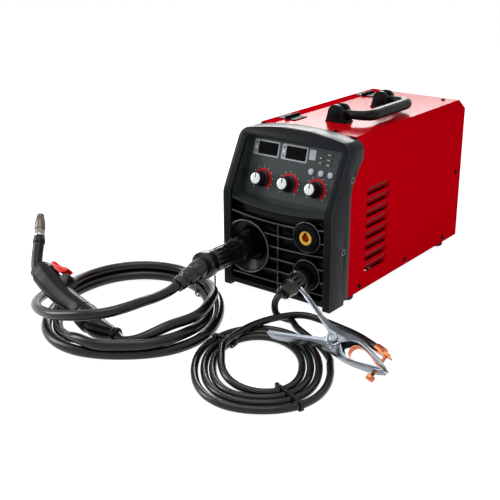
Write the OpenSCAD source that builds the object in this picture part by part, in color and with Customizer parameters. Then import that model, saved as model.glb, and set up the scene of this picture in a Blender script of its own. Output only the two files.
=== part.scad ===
// Wire-feed (MIG) inverter welder with its torch and earth clamp. Origin on the
// ground under the case's middle, +X to its right, +Y to its rear. Millimetres.

/* [Case] */
// Length of the case, front frame to rear edge of the covers
case_l = 448; // [430:1:470]
// Width over the folded steel covers
cover_w = 212; // [206:1:222]
// Height of the covers' flat top above the ground
cover_top = 274; // [270:1:284]
// Height of the rubber feet, which is the covers' lower edge
foot_h = 12; // [9:1:16]
// Diameter of a rubber foot
foot_d = 25; // [20:1:30]
// Thickness of the steel sheet
sheet_t = 1.2; // [0.8:0.1:1.6]
// Width of the folded chamfer along the top edges
chamfer_w = 13; // [9:1:18]
// Height of the folded chamfer along the top edges
chamfer_h = 14; // [9:1:18]
// Distance of the door's hinge seam from the middle of the case
seam_x = 68; // [60:1:74]

/* [Louvres] */
// Number of pressed louvres in the right cover
louvre_n = 8; // [4:1:8]
// Height from one louvre to the next
louvre_pitch = 19; // [17:0.5:20]
// Length of a louvre
louvre_l = 72; // [50:1:90]
// Height of a louvre's pressed pocket
louvre_h = 13; // [8:0.5:14]
// Depth that a louvre is pressed in
louvre_depth = 5; // [3:0.5:7]
// Distance of the louvres behind the front face
louvre_y = 105; // [100:1:130]
// Height of the lowest louvre above the ground
louvre_z = 48; // [40:1:60]

/* [Front frame] */
// How far the frame stands proud of the covers
frame_proud = 2; // [1:0.5:4]
// Depth of the frame below the knee
frame_depth = 54; // [46:1:58]
// Height of the knee where the front starts to lean back
knee_z = 172; // [162:1:178]
// Set-back of the crest
lean_y = 54; // [46:1:60]
// Depth of the frame's flat top behind the crest
crest_depth = 33; // [26:1:38]
// Rise of the arched top edge over the covers
crest_rise = 5; // [2:0.5:8]
// Width of the frame's face round the opening
frame_face = 14; // [11:0.5:18]
// Wall of the moulded frame
frame_wall = 3; // [2:0.25:4]
// Height of the two posts above the ground
post_z = 5; // [3:0.5:8]

/* [Front grille] */
// Number of curved slats
slat_n = 8; // [6:1:8]
// Distance from one slat to the next
slat_pitch = 20.4; // [18:0.1:20.6]
// Thickness of a slat's front edge
slat_t = 3; // [2:0.25:4]
// Reach of a slat from the grille back wall
slat_reach = 10; // [6:0.5:12]
// Sag of the highest slat at its middle
slat_sag = 9; // [4:0.5:12]
// Width of the upright rib between the slats
rib_w = 2.5; // [1.5:0.25:4]

/* [Sockets] */
// Distance of the torch socket left of the middle
euro_x = 60; // [54:1:64]
// Height of the torch socket's axis
euro_z = 82; // [74:1:88]
// Radius of the round boss round the torch socket
boss_r = 46; // [40:1:48]
// Distance of the power sockets right of the middle
dinse_x = 59; // [52:1:66]
// Height of the upper power socket
dinse_top_z = 122; // [114:1:130]
// Height of the lower power socket
dinse_low_z = 58; // [52:1:64]
// Diameter of a power socket's black flange
dinse_flange_d = 46; // [40:1:50]
// Diameter of a power socket's brass insert
dinse_brass_d = 23; // [20:0.5:26]
// Bore of a power socket's brass insert
dinse_bore_d = 13; // [12:0.5:14]

/* [Control panel] */
// Lean of the control panel from upright, in degrees
panel_tilt = 16; // [12:1:18]
// Distance of the panel's lower edge behind the frame's face
panel_y = 33; // [28:1:38]
// Height of the panel's lower edge above the ground
panel_z = 158; // [154:1:162]
// Length of the panel up its slope
panel_l = 100; // [94:1:104]
// Distance from one knob to the next
knob_pitch = 53.5; // [48:0.5:58]
// Diameter of a knob's skirt
knob_d = 27; // [22:0.5:32]
// Height of a knob over the panel
knob_h = 21; // [16:0.5:26]
// Diameter of a knob's cap
knob_cap_d = 20; // [16:0.5:24]
// Diameter of a potentiometer's shaft
pot_shaft_d = 6; // [5:0.5:8]
// Diameter of a push button
button_d = 10; // [8:0.5:12]
// Width of one display window
window_w = 38; // [32:1:40]
// Height of one display window
window_h = 19; // [15:0.5:22]

/* [Carry handle] */
// Distance of the handle's pivot right of the middle
handle_x = 12; // [6:1:18]
// Height of the handle's pivot above the covers
handle_rise = 15; // [13:0.5:18]
// Distance of the front bracket behind the front face
bracket_y = 150; // [140:1:160]
// Distance over both brackets
handle_span = 172; // [150:1:190]
// Length of a bracket along the pivot
bracket_l = 26; // [22:1:30]
// Reach of the handle from its pivot to the grip's axis
handle_reach = 56; // [48:1:64]
// Diameter of the handle's grip
grip_d = 18; // [15:0.5:20]
// Diameter of a pivot pin
handle_pin_d = 8; // [6:0.5:10]

/* [Wire feeder] */
// Distance of the dividing wall left of the middle
divider_x = 10; // [6:1:14]
// Distance of the drive roll behind the front face
roll_y = 124; // [118:1:130]
// Diameter of the drive roll
roll_d = 30; // [26:0.5:34]
// Diameter of the feed motor's shaft
motor_shaft_d = 10; // [8:0.5:12]
// Distance of the spool hub behind the front face
spool_y = 312; // [300:1:320]
// Height of the spool hub above the ground
spool_z = 150; // [140:1:160]
// Diameter of the spool hub, for 50 mm reel bores
hub_d = 50; // [46:0.5:51]
// Length of the spool hub
hub_l = 52; // [46:1:58]

/* [Cooling fan] */
// Side of the square fan frame
fan_size = 92; // [80:1:96]
// Thickness of the fan frame
fan_t = 25; // [20:1:32]
// Height of the fan's axis above the ground
fan_z = 150; // [130:1:170]
// Number of fan blades
fan_blades = 7; // [5:1:9]

/* [Torch] */
// Diameter of the torch cable
torch_cable_d = 16; // [14:0.5:16]
// Length of the torch handle
torch_handle_l = 136; // [128:1:142]
// Diameter of the torch's swan neck
neck_d = 15; // [12:0.5:17]
// Length of the gas nozzle
nozzle_l = 50; // [44:1:58]
// Outlet diameter of the gas nozzle
nozzle_tip_d = 12; // [11:0.5:15]
// Bend of the swan neck in degrees
neck_bend = 50; // [45:1:55]

/* [Earth clamp] */
// Diameter of the earth cable
earth_cable_d = 11; // [9:0.5:11]
// Distance from the clamp's rivet to the jaw tips
jaw_l = 90; // [80:1:100]
// Distance from the clamp's rivet to the handle ends
clamp_handle_l = 98; // [88:1:108]
// Width of the clamp's folded arms
clamp_w = 22; // [18:1:26]
// Diameter of the clamp's rivet
rivet_d = 8; // [6:0.5:10]

/* [Hidden] */

$fn = 48;
gap = 0.3;
fit = 0.05;
far = 600;
front_y = -case_l / 2;
rear_y = case_l / 2;
half_w = cover_w / 2;
frame_half = half_w + frame_proud;
in_half = half_w - sheet_t;
// Outline where covers and frame meet: Y from the face, Z.
bend_low = knee_z + 13;
joint_line = [[frame_depth, 0], [frame_depth, bend_low], [frame_depth + 3, bend_low + 15],
    [frame_depth + 20, bend_low + 42], [lean_y + crest_depth, bend_low + 56],
    [lean_y + crest_depth, far]];
open_half = frame_half - frame_face;
rail_z = foot_h;
open_low = rail_z + 7;
open_top = cover_top - 13;
panel_rear = rear_y - 4;
rear_t = 2.5;
inside_y = panel_rear - rear_t - gap;

// Extrudes a flat YZ outline along X, centred.
module along_x(w) {
    translate([-w / 2, 0, 0]) rotate([90, 0, 90]) linear_extrude(w) children();
}

// Extrudes a flat XZ outline along Y, from y0 to y1.
module along_y(y0, y1) {
    translate([0, y1, 0]) rotate([90, 0, 0]) linear_extrude(y1 - y0) children();
}

// A cylinder along Y whose front end is at y0.
module rod_y(d, y0, y1) {
    translate([0, y1, 0]) rotate([90, 0, 0]) cylinder(d = d, h = y1 - y0);
}

// A cylinder along X from x0 to x1.
module rod_x(d, x0, x1) {
    translate([x0, 0, 0]) rotate([0, 90, 0]) cylinder(d = d, h = x1 - x0);
}

// A rectangle with round corners, centred.
module round_rect(w, h, r) {
    union() {
        square([w - 2 * r, h], center = true);
        square([w, h - 2 * r], center = true);
        for (sx = [-1, 1], sz = [-1, 1])
            translate([sx * (w / 2 - r), sz * (h / 2 - r)]) circle(r = r);
    }
}

// Points of an arc from angle a0 to a1 about centre c.
function arc(c, r, a0, a1, n) =
    [for (i = [0:n]) let (a = a0 + (a1 - a0) * i / n) c + r * [cos(a), sin(a)]];

// Places children on the control panel: X across, Y up its slope, Z out of it.
module on_panel() {
    translate([0, front_y + panel_y, panel_z]) rotate([90 - panel_tilt, 0, 0]) children();
}

// Everything in front of the line where frame and covers meet, moved back by g.
module front_zone(g) {
    along_x(far)
        polygon(concat([[front_y - 50, -50], [front_y + joint_line[0][0] + g, -50]],
            [for (p = joint_line) [front_y + p[0] + g, p[1]]], [[front_y - 50, far]]));
}

/* Case ---------- */

// Folded floor of the case, with upright edges and the flange of the door's catch.
module base_tray() {
    w = in_half - gap;
    color("#2b2d30") difference() {
        union() {
            along_y(front_y + frame_wall + 2 + gap, panel_rear - gap) polygon([
                [-w, foot_h], [w, foot_h], [w, foot_h + 20], [w - sheet_t, foot_h + 20],
                [w - sheet_t, foot_h + sheet_t], [-w + sheet_t, foot_h + sheet_t],
                [-w + sheet_t, foot_h + 20], [-w, foot_h + 20]]);
            translate([-w, catch_y - 16, foot_h + 20 - sheet_t]) cube([14, 32, sheet_t]);
        }
        for (sx = [-1, 1], y = foot_y)
            translate([sx * foot_x, y, 0]) cylinder(d = 5, h = foot_h + 5);
        for (i = [0:5])
            translate([half_w / 2, motor_y + 40 + i * 14, foot_h - 1])
                linear_extrude(4) round_rect(60, 5, 2.4);
        for (p = side_screws)
            translate([0, p[0], p[1]]) rod_x(4.6, w - 3, w + 1);
        translate([-w + sheet_t, catch_y - 9, foot_h + 10]) cube([4, 18, 12]);
    }
}
foot_x = half_w - 18;
foot_y = [front_y + frame_depth + 26, rear_y - 46];
motor_y = front_y + roll_y;
catch_y = rear_y - case_l * 0.4;

// Cross-section of a folded cover from the seam to its lower edge, side +1 or -1.
module cover_section(side, seam) {
    k = sheet_t * 0.42;
    mirror([side < 0 ? 1 : 0, 0]) polygon([[seam, cover_top],
        [half_w - chamfer_w, cover_top], [half_w, cover_top - chamfer_h],
        [half_w, foot_h], [in_half, foot_h], [in_half, cover_top - chamfer_h - k],
        [half_w - chamfer_w - k, cover_top - sheet_t], [seam, cover_top - sheet_t]]);
}

// The pressed pocket of one louvre, grown by t for the metal behind it.
module louvre_pocket(t) {
    h = louvre_h + 2 * t;
    intersection() {
        along_y(-louvre_l / 2 - t, louvre_l / 2 + t) polygon([[half_w + 1, h / 2 + 1],
            [half_w, h / 2], [half_w - louvre_depth - t, -h / 2],
            [half_w + 1, -h / 2]]);
        translate([half_w - louvre_depth - 2 * t, 0, 0]) rotate([90, 0, 90])
            linear_extrude(louvre_depth + 2 * t + (t > 0 ? 0 : 2))
            round_rect(louvre_l + 2 * t, h, h / 2 - 0.2);
    }
}

// Places children at every louvre.
module at_louvres() {
    for (i = [0:louvre_n - 1])
        translate([0, louvre_mid, louvre_z + i * louvre_pitch]) children();
}

// Folded steel cover: right side, chamfer and top up to the door's seam.
module right_cover() {
    color("#c40014") difference() {
        union() {
            difference() {
                along_y(front_y + frame_depth, rear_y) cover_section(1, -seam_x + gap);
                front_zone(gap);
                at_louvres() louvre_pocket(sheet_t / 2);
            }
            at_louvres() intersection() {
                louvre_pocket(sheet_t);
                translate([half_w - 40, -far / 2, -far / 2]) cube([40, far, far]);
            }
        }
        at_louvres() {
            louvre_pocket(0);
            translate([half_w - louvre_depth - 3, -louvre_l / 2 + 8, -louvre_h / 2 - 3])
                cube([louvre_depth + 1, louvre_l - 16, 4.4]);
        }
        for (p = side_screws)
            translate([0, p[0], p[1]]) rod_x(4.4, half_w - 5, half_w + 5);
        for (p = top_screws)
            translate([p[0], p[1], cover_top - 5]) cylinder(d = 4.4, h = 10);
        for (y = bracket_mid)
            for (s = [-1, 1])
                translate([handle_x, y + s * bracket_l * 0.3, cover_top - 5])
                    cylinder(d = 5, h = 10);
    }
}
louvre_mid = front_y + louvre_y + louvre_l / 2;
side_screws = [[front_y + 92, foot_h + 10], [front_y + 244, foot_h + 10],
    [rear_y - 58, foot_h + 10], [rear_y - 20, foot_h + 130]];
top_screws = [[half_w - 59, front_y + lean_y + crest_depth + 12],
    [half_w - 36, rear_y - 20]];
bracket_mid = [front_y + bracket_y + bracket_l / 2,
    front_y + bracket_y + handle_span - bracket_l / 2];

// Moulded rear wall: ring slots of the fan, holes, and the housing of the switch.
module rear_panel() {
    w = in_half - gap;
    color("#26282b") difference() {
        union() {
            along_y(panel_rear - rear_t, panel_rear) difference() {
                polygon([[-w, foot_h + sheet_t + gap], [w, foot_h + sheet_t + gap],
                    [w, cover_top - chamfer_h - 1],
                    [half_w - chamfer_w - 1, cover_top - sheet_t - gap],
                    [-half_w + chamfer_w + 1, cover_top - sheet_t - gap],
                    [-w, cover_top - chamfer_h - 1]]);
                translate([fan_x, fan_z]) for (r = [14:9:fan_size / 2 - 6])
                    difference() {
                        circle(r = r + 2.8);
                        circle(r = r - 2.8);
                        for (a = [45, 135]) rotate(a) square([far, 7], center = true);
                    }
                translate([fan_x, fan_z]) for (sx = [-1, 1], sz = [-1, 1])
                    translate([sx, sz] * fan_hole) circle(d = 4.4);
                translate([gland_x, gland_z]) circle(d = 20.6);
                translate([gas_x, gas_z]) circle(d = 12.6);
                for (sx = [-1, 1])
                    translate([sx * w, foot_h + 9]) square([2 * (sheet_t + gap), 24], center = true);
            }
            along_y(panel_rear - 20, panel_rear + 2) translate([rocker_x, rocker_z])
                round_rect(rocker_w + 2, rocker_h + 4, 2);
        }
        along_y(panel_rear - 18, panel_rear + 5) translate([rocker_x, rocker_z])
            square([rocker_w - 5, rocker_h - 1], center = true);
    }
    color("#26282b") translate([0, panel_rear - 6, rocker_z])
        rod_x(4, rocker_x - rocker_w / 2 + 1, rocker_x + rocker_w / 2 - 1);
}
fan_x = (half_w - divider_x) / 2 - 1;
fan_hole = fan_size / 2 - 5;
rocker_w = 24;
rocker_h = 30;
rocker_x = -half_w / 2;
rocker_z = cover_top - 50;
gland_x = -half_w * 0.62;
gland_z = foot_h + 40;
gas_x = -half_w * 0.28;
gas_z = foot_h + 40;

// Upright steel wall between the wire bay and the power side.
module divider() {
    color("#9aa0a6") difference() {
        union() {
            translate([-divider_x - 2, divider_y0, foot_h + sheet_t])
                cube([2, inside_y - divider_y0,
                    cover_top - foot_h - 2 * sheet_t - gap]);
            translate([-divider_x, divider_y0, foot_h + sheet_t])
                cube([divider_foot, inside_y - divider_y0, sheet_t]);
        }
        translate([0, motor_y, roll_z]) rod_x(motor_shaft_d + 6, -divider_x - 5, 5);
        translate([0, front_y + spool_y, spool_z]) rod_x(12, -divider_x - 5, 5);
        translate([-divider_x - 3, rear_y - 60, gas_z - 15]) cube([4, 30, 30]);
    }
}
divider_y0 = front_y + 78;
divider_foot = 12;
roll_z = euro_z - roll_d / 2 + 1;

// Four rubber feet, each a tapered puck screwed to the tray.
module feet() {
    color("#1c1d1f") for (sx = [-1, 1], y = foot_y)
        translate([sx * foot_x, y, 0]) difference() {
            union() {
                cylinder(d1 = foot_d - 3, d2 = foot_d, h = 3);
                translate([0, 0, 3]) cylinder(d = foot_d, h = foot_h - 3);
            }
            translate([0, 0, -1]) cylinder(d = 9, h = foot_h * 0.6 + 1);
            cylinder(d = 5, h = foot_h + 1);
        }
}

/* Front ---------- */

// Side profile of the front frame in Y and Z, drawn in by t, with post feet.
module frame_profile(t, open_rear = false) {
    back = open_rear ? 30 : 0;
    lean = atan2(lean_y, frame_top - knee_z);
    polygon(concat(
        [[front_y + t, post_z + t]],
        arc([front_y + 26, knee_z - 26 * tan(lean / 2)], 26 - t, 180, 180 - lean, 4),
        arc([front_y + lean_y + 7 - 1, frame_top - 8], 8 - t, 180 - lean, 90, 4),
        [[front_y + joint_line[4][0] + back, frame_top - t]],
        [for (i = [4:-1:1]) [front_y + joint_line[i][0] + back, joint_line[i][1]]],
        [[front_y + frame_depth + back, post_z + t]]));
}
frame_top = cover_top + crest_rise;

// Front view of the frame in X and Z, drawn in by t: round corners, arched top.
module frame_front(t) {
    corner = chamfer_w + 3;
    w = frame_half - t;
    crown = cover_top - 3 - t;
    rise = crest_rise + 3;
    big_r = (pow(w - corner, 2) + rise * rise) / (2 * rise);
    sweep = asin((w - corner) / big_r);
    polygon(concat([[-w, post_z + t], [w, post_z + t]],
        arc([w - corner, crown - corner], corner, 0, 90 - sweep, 6),
        arc([0, crown + rise - big_r], big_r, 90 - sweep, 90 + sweep, 12),
        arc([-w + corner, crown - corner], corner, 90 + sweep, 180, 6)));
}

// Moulded frame round the front, open in front and behind, with two posts.
module front_frame() {
    color("#2a2d30") difference() {
        intersection() {
            along_x(2 * frame_half) frame_profile(0);
            along_y(front_y - 5, rear_y) frame_front(0);
        }
        intersection() {
            translate([0, frame_wall * 0.6, 0]) along_x(far) frame_profile(frame_wall, true);
            along_y(front_y + frame_wall + 2, rear_y) union() {
                frame_front(frame_wall);
                translate([0, rail_z]) square([2 * (frame_half - frame_wall), 40], center = true);
            }
        }
        along_y(front_y - 5, front_y + frame_depth) translate([0, (open_low + open_top) / 2])
            round_rect(2 * open_half, open_top - open_low, 10);
        translate([-open_half, front_y - 5, -5]) cube([2 * open_half, 200, rail_z + 5]);
        translate([-far / 2, front_y + frame_depth - 12, -5]) cube([far, 200, foot_h + 5]);
        for (s = frame_screws)
            for (sx = [-1, 1])
                translate([sx * frame_half, front_y + s[0], s[1]]) rod_x(9, -1.5, 1.5);
    }
}
frame_screws = [[35, 99], [56, 213]];

// Points of a line across the opening at height z whose middle sags by s.
function sag_line(z, s, w) = let (n = 16)
    [for (i = [0:n]) let (x = w * (2 * i / n - 1)) [x, z + s * (pow(x / w, 2) - 1)]];

// One slat outline in X and Z: a bar with a sagging middle.
module slat_outline(z, s, w) {
    upper = sag_line(z + slat_t / 2, s, w);
    lower = sag_line(z - slat_t / 2, s, w);
    polygon(concat(upper, [for (i = [len(lower) - 1:-1:0]) lower[i]]));
}

// Lower front moulding: curved slats over a back wall, with seats for the sockets.
module front_grille() {
    w = open_half - 0.5;
    color("#17191b") difference() {
        union() {
            along_y(wall_y, wall_y + 3)
                polygon(concat([[w, open_low - 4], [-w, open_low - 4]],
                    sag_line(slat_z + slat_sag - 4, slat_sag, w)));
            for (i = [1:slat_n - 2]) {
                s = slat_sag * max(0, 1 - i / 5);
                along_y(wall_y - slat_reach, wall_y + 1)
                    slat_outline(slat_z - i * slat_pitch + s, s, w);
            }
            along_y(wall_y - slat_reach + 1, wall_y + 1) translate([2 - rib_w / 2, open_low])
                square([rib_w, slat_z - slat_pitch - open_low]);
            translate([-euro_x, 0, euro_z]) intersection() {
                rod_y(2 * boss_r, front_y + 1, wall_y + 1);
                translate([euro_x - w, front_y - 5, -far / 2]) cube([far, 60, far]);
            }
            for (z = dinse_z)
                translate([dinse_x, 0, z]) rod_y(dinse_flange_d + 6, front_y + 4, wall_y + 1);
        }
        translate([-euro_x, wall_y - 2, euro_z]) rotate([90, 0, 0])
            cylinder(r1 = boss_r - 20, r2 = boss_r - 3, h = 12);
        translate([-euro_x, 0, euro_z]) rod_y(euro_body_d + 2 * gap, front_y - 5, wall_y + 5);
        for (z = dinse_z) translate([dinse_x, 0, z]) {
            rod_y(dinse_body_d + 2 * gap, front_y - 5, wall_y + 5);
            rod_y(dinse_flange_d + 2 * gap, front_y - 5, front_y + 9);
        }
        for (sx = [-1, 1])
            translate([sx * (w - 9), 0, slat_z - 7]) rod_y(5, front_y - 5, far);
    }
}
wall_y = front_y + frame_wall + slat_reach + 1;
slat_z = panel_z - 5;
dinse_z = [dinse_low_z, dinse_top_z];
dinse_body_d = dinse_flange_d - 8;
euro_body_d = 34;

// Upper front moulding: the sloping control panel, its shelf, cheeks and hood.
module control_panel() {
    t = 2.5;
    up = [sin(panel_tilt), cos(panel_tilt)];
    inward = [cos(panel_tilt), -sin(panel_tilt)];
    foot = [front_y + panel_y, panel_z];
    low = foot - up * 10;
    head = foot + up * panel_l;
    brow = [front_y + lean_y - 0.5, open_top - 2];
    w = open_half - 0.5;
    color("#4b5252") difference() {
        union() {
            along_x(2 * w) polygon([low, head, brow, brow + [2, 1.5],
                head + inward * t + [0, 2], low + inward * t]);
            along_y(front_y + frame_wall + 1, front_y + panel_y + 1)
                slat_outline(slat_z + slat_sag, slat_sag, w);
            for (sx = [-1, 1])
                translate([sx * (w + 0.5), 0, 0]) along_x(2.5)
                    polygon([[front_y + frame_wall + 4, slat_z + slat_sag - 2],
                        low + [6, 0], head + [1, 0], brow + [0, 1.5],
                        [front_y + frame_wall + 7, knee_z + 4]]);
        }
        on_panel() {
            for (x = knob_x)
                translate([x, knob_y, -10]) cylinder(d = pot_shaft_d + 3, h = 20);
            for (x = button_x)
                translate([x, button_y, -10]) cylinder(d = button_d + 2 * gap, h = 20);
            for (x = window_x)
                translate([x - window_w / 2 - gap, window_y - window_h / 2 - gap, -10])
                    cube([window_w + 2 * gap, window_h + 2 * gap, 20]);
            for (p = led_at)
                translate([p[0], p[1], -10]) cylinder(d = led_d + 2 * gap, h = 20);
        }
    }
}
knob_x = [-58, -58 + knob_pitch, -58 + 2 * knob_pitch];
knob_y = 33;
button_x = [35, 54, 72];
button_y = 60;
window_x = [-56, 0];
window_y = panel_l - 16;
led_d = 3.4;
led_at = [[53, 76], [53, 84], [69, 75], [69, 83], [69, 91]];

// Two smoked display windows and the indicator lenses, flush in the panel.
module display_lenses() {
    color("#0a0a0c") on_panel() {
        for (x = window_x)
            translate([x - window_w / 2, window_y - window_h / 2, -4])
                cube([window_w, window_h, 4.4]);
        for (p = led_at)
            translate([p[0], p[1], -4]) {
                cylinder(d = led_d, h = 4);
                translate([0, 0, 4]) cylinder(d = led_d - 1, h = 0.6);
            }
    }
}

// Control board on posts behind the panel: potentiometers and keys.
module control_board() {
    back = -knob_board;
    post_x = [-open_half + 12, open_half - 12];
    post_y = [12, panel_l - 12];
    color("#1f6b3a") on_panel() {
        difference() {
            translate([-open_half + 6, 6, back - 1.6])
                cube([2 * open_half - 12, panel_l - 12, 1.6]);
            for (x = post_x, y = post_y)
                translate([x, y, back - 3]) cylinder(d = 3.2, h = 6);
        }
        for (x = knob_x) translate([x, knob_y, back]) {
            translate([-8, -8, 0]) cube([16, 16, knob_board - 4]);
            cylinder(d = pot_shaft_d, h = knob_board + knob_h - 6);
        }
        for (x = button_x) translate([x - 3, button_y - 3, back])
            cube([6, 6, knob_board - 4 - button_travel - gap]);
        for (x = window_x) translate([x - window_w / 2, window_y - window_h / 2, back])
            cube([window_w, window_h, knob_board - 4 - gap]);
        for (x = post_x, y = post_y)
            translate([x, y, back]) difference() {
                cylinder(d = 6, h = knob_board - 3.1);
                translate([0, 0, -1]) cylinder(d = 3.2, h = knob_board - 5);
            }
    }
}
knob_board = 14;
button_travel = 1.5;

// Control knob: fluted skirt, round cap and a pointer line, bored for its shaft.
module knob(i) {
    n = 20;
    color("#141516") on_panel() translate([knob_x[i], knob_y, gap]) difference() {
        union() {
            cylinder(d = knob_d, h = 4);
            translate([0, 0, 3]) cylinder(d1 = knob_d - 2, d2 = knob_cap_d + 3, h = knob_h - 6);
            cylinder(d = knob_cap_d, h = knob_h);
        }
        for (a = [0:n - 1])
            rotate(a * 360 / n) translate([knob_d / 2 - 0.2, 0, 5]) cylinder(d = 2, h = knob_h);
        translate([0, 0, -1]) cylinder(d = pot_shaft_d + 2 * fit, h = knob_h - 3);
        translate([-0.8, 1, knob_h - 0.8]) cube([1.6, knob_cap_d / 2, 2]);
    }
}
module knob_left() { knob(0); }
module knob_middle() { knob(1); }
module knob_right() { knob(2); }

// Push button: a crowned cap on a stem with a collar behind the panel.
module button(i) {
    color("#e8eaec") on_panel() translate([button_x[i], button_y, 0]) {
        translate([0, 0, -4]) cylinder(d = button_d, h = 6);
        translate([0, 0, 2]) cylinder(d1 = button_d, d2 = button_d - 3, h = 0.8);
    }
}
module button_left() { button(0); }
module button_middle() { button(1); }
module button_right() { button(2); }

// Torch socket: flange behind the wall, hexagon nut in the dish, central body.
module torch_socket() {
    color("#202224") translate([-euro_x, 0, euro_z]) difference() {
        union() {
            rod_y(euro_body_d, front_y - 8, wall_y + 22);
            rod_y(euro_body_d + 16, wall_y + 3 + gap, wall_y + 8);
            translate([0, wall_y - 2 - gap, 0]) rotate([90, 30, 0])
                cylinder(d = euro_body_d + 9, h = 8, $fn = 6);
        }
        rod_y(plug_stub_d + 2 * gap, front_y - 20, front_y + 18);
        rod_y(wire_bore_d, front_y - 20, wall_y + 30);
    }
}
wire_bore_d = 5;
plug_stub_d = 16;

// Insulating flanges of the two power sockets, with a hexagon nut behind the wall.
module power_socket_flanges() {
    color("#141516") for (z = dinse_z) translate([dinse_x, 0, z]) difference() {
        union() {
            translate([0, front_y + 9 - gap, 0]) rotate([90, 0, 0]) {
                cylinder(d = dinse_flange_d, h = 8);
                cylinder(d1 = dinse_flange_d, d2 = dinse_flange_d - 4, h = 10);
            }
            rod_y(dinse_body_d, front_y + 8, wall_y + 24);
            translate([0, wall_y + 11, 0]) rotate([90, 0, 0])
                cylinder(d = dinse_flange_d + 6, h = 8 - gap, $fn = 6);
        }
        rod_y(dinse_brass_d, front_y - 20, wall_y + 30);
        rod_y(dinse_brass_d + 6, front_y - 20, front_y + 1);
    }
}

// Brass inserts of the power sockets: bored, with the key slot of the plug's pin.
module power_socket_inserts() {
    color("#c98a2b") for (z = dinse_z) translate([dinse_x, 0, z]) difference() {
        union() {
            rod_y(dinse_brass_d, front_y + 0.5, wall_y + 24);
            rod_y(12, wall_y + 23, wall_y + 42);
        }
        rod_y(dinse_bore_d, front_y - 5, front_y + dinse_depth);
        translate([-2.5, front_y - 5, dinse_bore_d / 2 - 1]) cube([5, dinse_depth + 5, 3.4]);
    }
}
dinse_depth = 32;

/* Top ---------- */

// Domed brackets on the roof, each slotted for the handle's eye, with its pin.
module handle_brackets() {
    top_r = 15;
    slot = handle_eye_w + 2 * gap;
    color("#1b1c1e") for (y = bracket_mid) translate([handle_x, y, 0]) {
        difference() {
            along_y(-bracket_l / 2, bracket_l / 2) difference() {
                union() {
                    translate([0, handle_z]) circle(r = top_r);
                    polygon([[-top_r - 5, cover_top], [top_r + 5, cover_top],
                        [top_r + 3, cover_top + 3], [top_r - 0.6, handle_z + 3],
                        [-top_r + 0.6, handle_z + 3], [-top_r - 3, cover_top + 3]]);
                }
                translate([-far / 2, cover_top - far]) square([far, far]);
            }
            translate([-handle_d / 2 - 3, -slot / 2, cover_top + 4]) cube([far, slot, far]);
            for (s = [-1, 1])
                translate([0, s * bracket_l * 0.3, cover_top - 1]) cylinder(d = 4, h = 3);
        }
        translate([0, 0, handle_z])
            rod_y(handle_pin_d, -bracket_l / 2 - 2, bracket_l / 2 + 2);
        translate([0, 0, handle_z]) rod_y(handle_pin_d + 5, -bracket_l / 2 - 2, -bracket_l / 2);
    }
}
handle_z = cover_top + handle_rise;
handle_d = 15;
handle_eye_w = 12;

// Folding carry handle: two eyes, two arms, rounded corners and a ribbed grip.
module carry_handle() {
    y0 = bracket_mid[0];
    y1 = bracket_mid[1];
    r = 17;
    reach = handle_x + handle_reach;
    color("#1b1c1e") translate([0, 0, handle_z]) {
        for (y = [y0, y1]) difference() {
            union() {
                translate([handle_x, 0, 0]) rod_y(handle_d, y - handle_eye_w / 2, y + handle_eye_w / 2);
                translate([0, y, 0]) intersection() {
                    rod_x(handle_d, handle_x, reach - r);
                    translate([-far, -handle_eye_w / 2, -far])
                        cube([far + handle_x + 22, handle_eye_w, 2 * far]);
                }
                translate([0, y, 0]) rod_x(handle_d, handle_x + 21, reach - r);
            }
            translate([handle_x, 0, 0])
                rod_y(handle_pin_d + 2 * fit, y - handle_eye_w, y + handle_eye_w);
        }
        translate([reach - r, y0 + r, 0]) rotate([0, 0, -90])
            rotate_extrude(angle = 90) translate([r, 0]) circle(d = handle_d);
        translate([reach - r, y1 - r, 0])
            rotate_extrude(angle = 90) translate([r, 0]) circle(d = handle_d);
        translate([reach, 0, 0]) {
            rod_y(handle_d, y0 + r, y1 - r);
            rod_y(grip_d, y0 + r + 8, y1 - r - 8);
            for (i = [0:8])
                translate([0, (y0 + y1) / 2 + (i - 4) * 10, 0]) rod_y(grip_d + 1.4, -2, 2);
        }
    }
}

// Folded side door: top strip, chamfer and side, with the catch's slot.
module side_door() {
    color("#c40014") difference() {
        along_y(front_y + frame_depth, rear_y) cover_section(-1, seam_x);
        front_zone(gap);
        translate([-half_w - 2, catch_y - 5.5, catch_z - 13]) cube([6, 11, 20]);
    }
}
catch_z = foot_h + 42;

// Fixed leaves of the door's hinges, with their pins.
module hinge_leaves() {
    color("#1b1c1e") for (y = hinge_mid) translate([-seam_x, y, hinge_z]) difference() {
        union() {
            rod_y(hinge_pin_d, -hinge_l / 2, hinge_l / 2);
            for (s = [-1, 1]) translate([0, s * hinge_l * 0.36, 0]) {
                rod_y(2 * hinge_r, -hinge_l * 0.14, hinge_l * 0.14);
                translate([0, -hinge_l * 0.14, -hinge_r]) cube([4, hinge_l * 0.28, hinge_r]);
            }
            translate([3, -hinge_l / 2, -hinge_r]) cube([15, hinge_l, 1.4]);
        }
        for (s = [-1, 1])
            translate([12, s * hinge_l * 0.3, -hinge_r - 1]) cylinder(d = 3.4, h = 4);
    }
}
hinge_l = 36;
hinge_r = 3;
hinge_pin_d = 3;
hinge_z = cover_top + hinge_r + gap;
hinge_mid = [front_y + 140, rear_y - 60];

// Moving leaves of the door's hinges.
module door_hinges() {
    w = hinge_l * 0.44 - 2 * gap;
    color("#1b1c1e") for (y = hinge_mid) translate([-seam_x, y, hinge_z]) difference() {
        union() {
            rod_y(2 * hinge_r, -w / 2, w / 2);
            translate([-6, -w / 2, -hinge_r - gap]) cube([6, w, hinge_r]);
            translate([-18, -hinge_l / 2, -hinge_r - gap]) cube([14, hinge_l, 1.4]);
        }
        rod_y(hinge_pin_d + 2 * fit, -hinge_l, hinge_l);
        for (s = [-1, 1])
            translate([-12, s * hinge_l * 0.3, -hinge_r - 1]) cylinder(d = 3.4, h = 4);
    }
}

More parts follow.
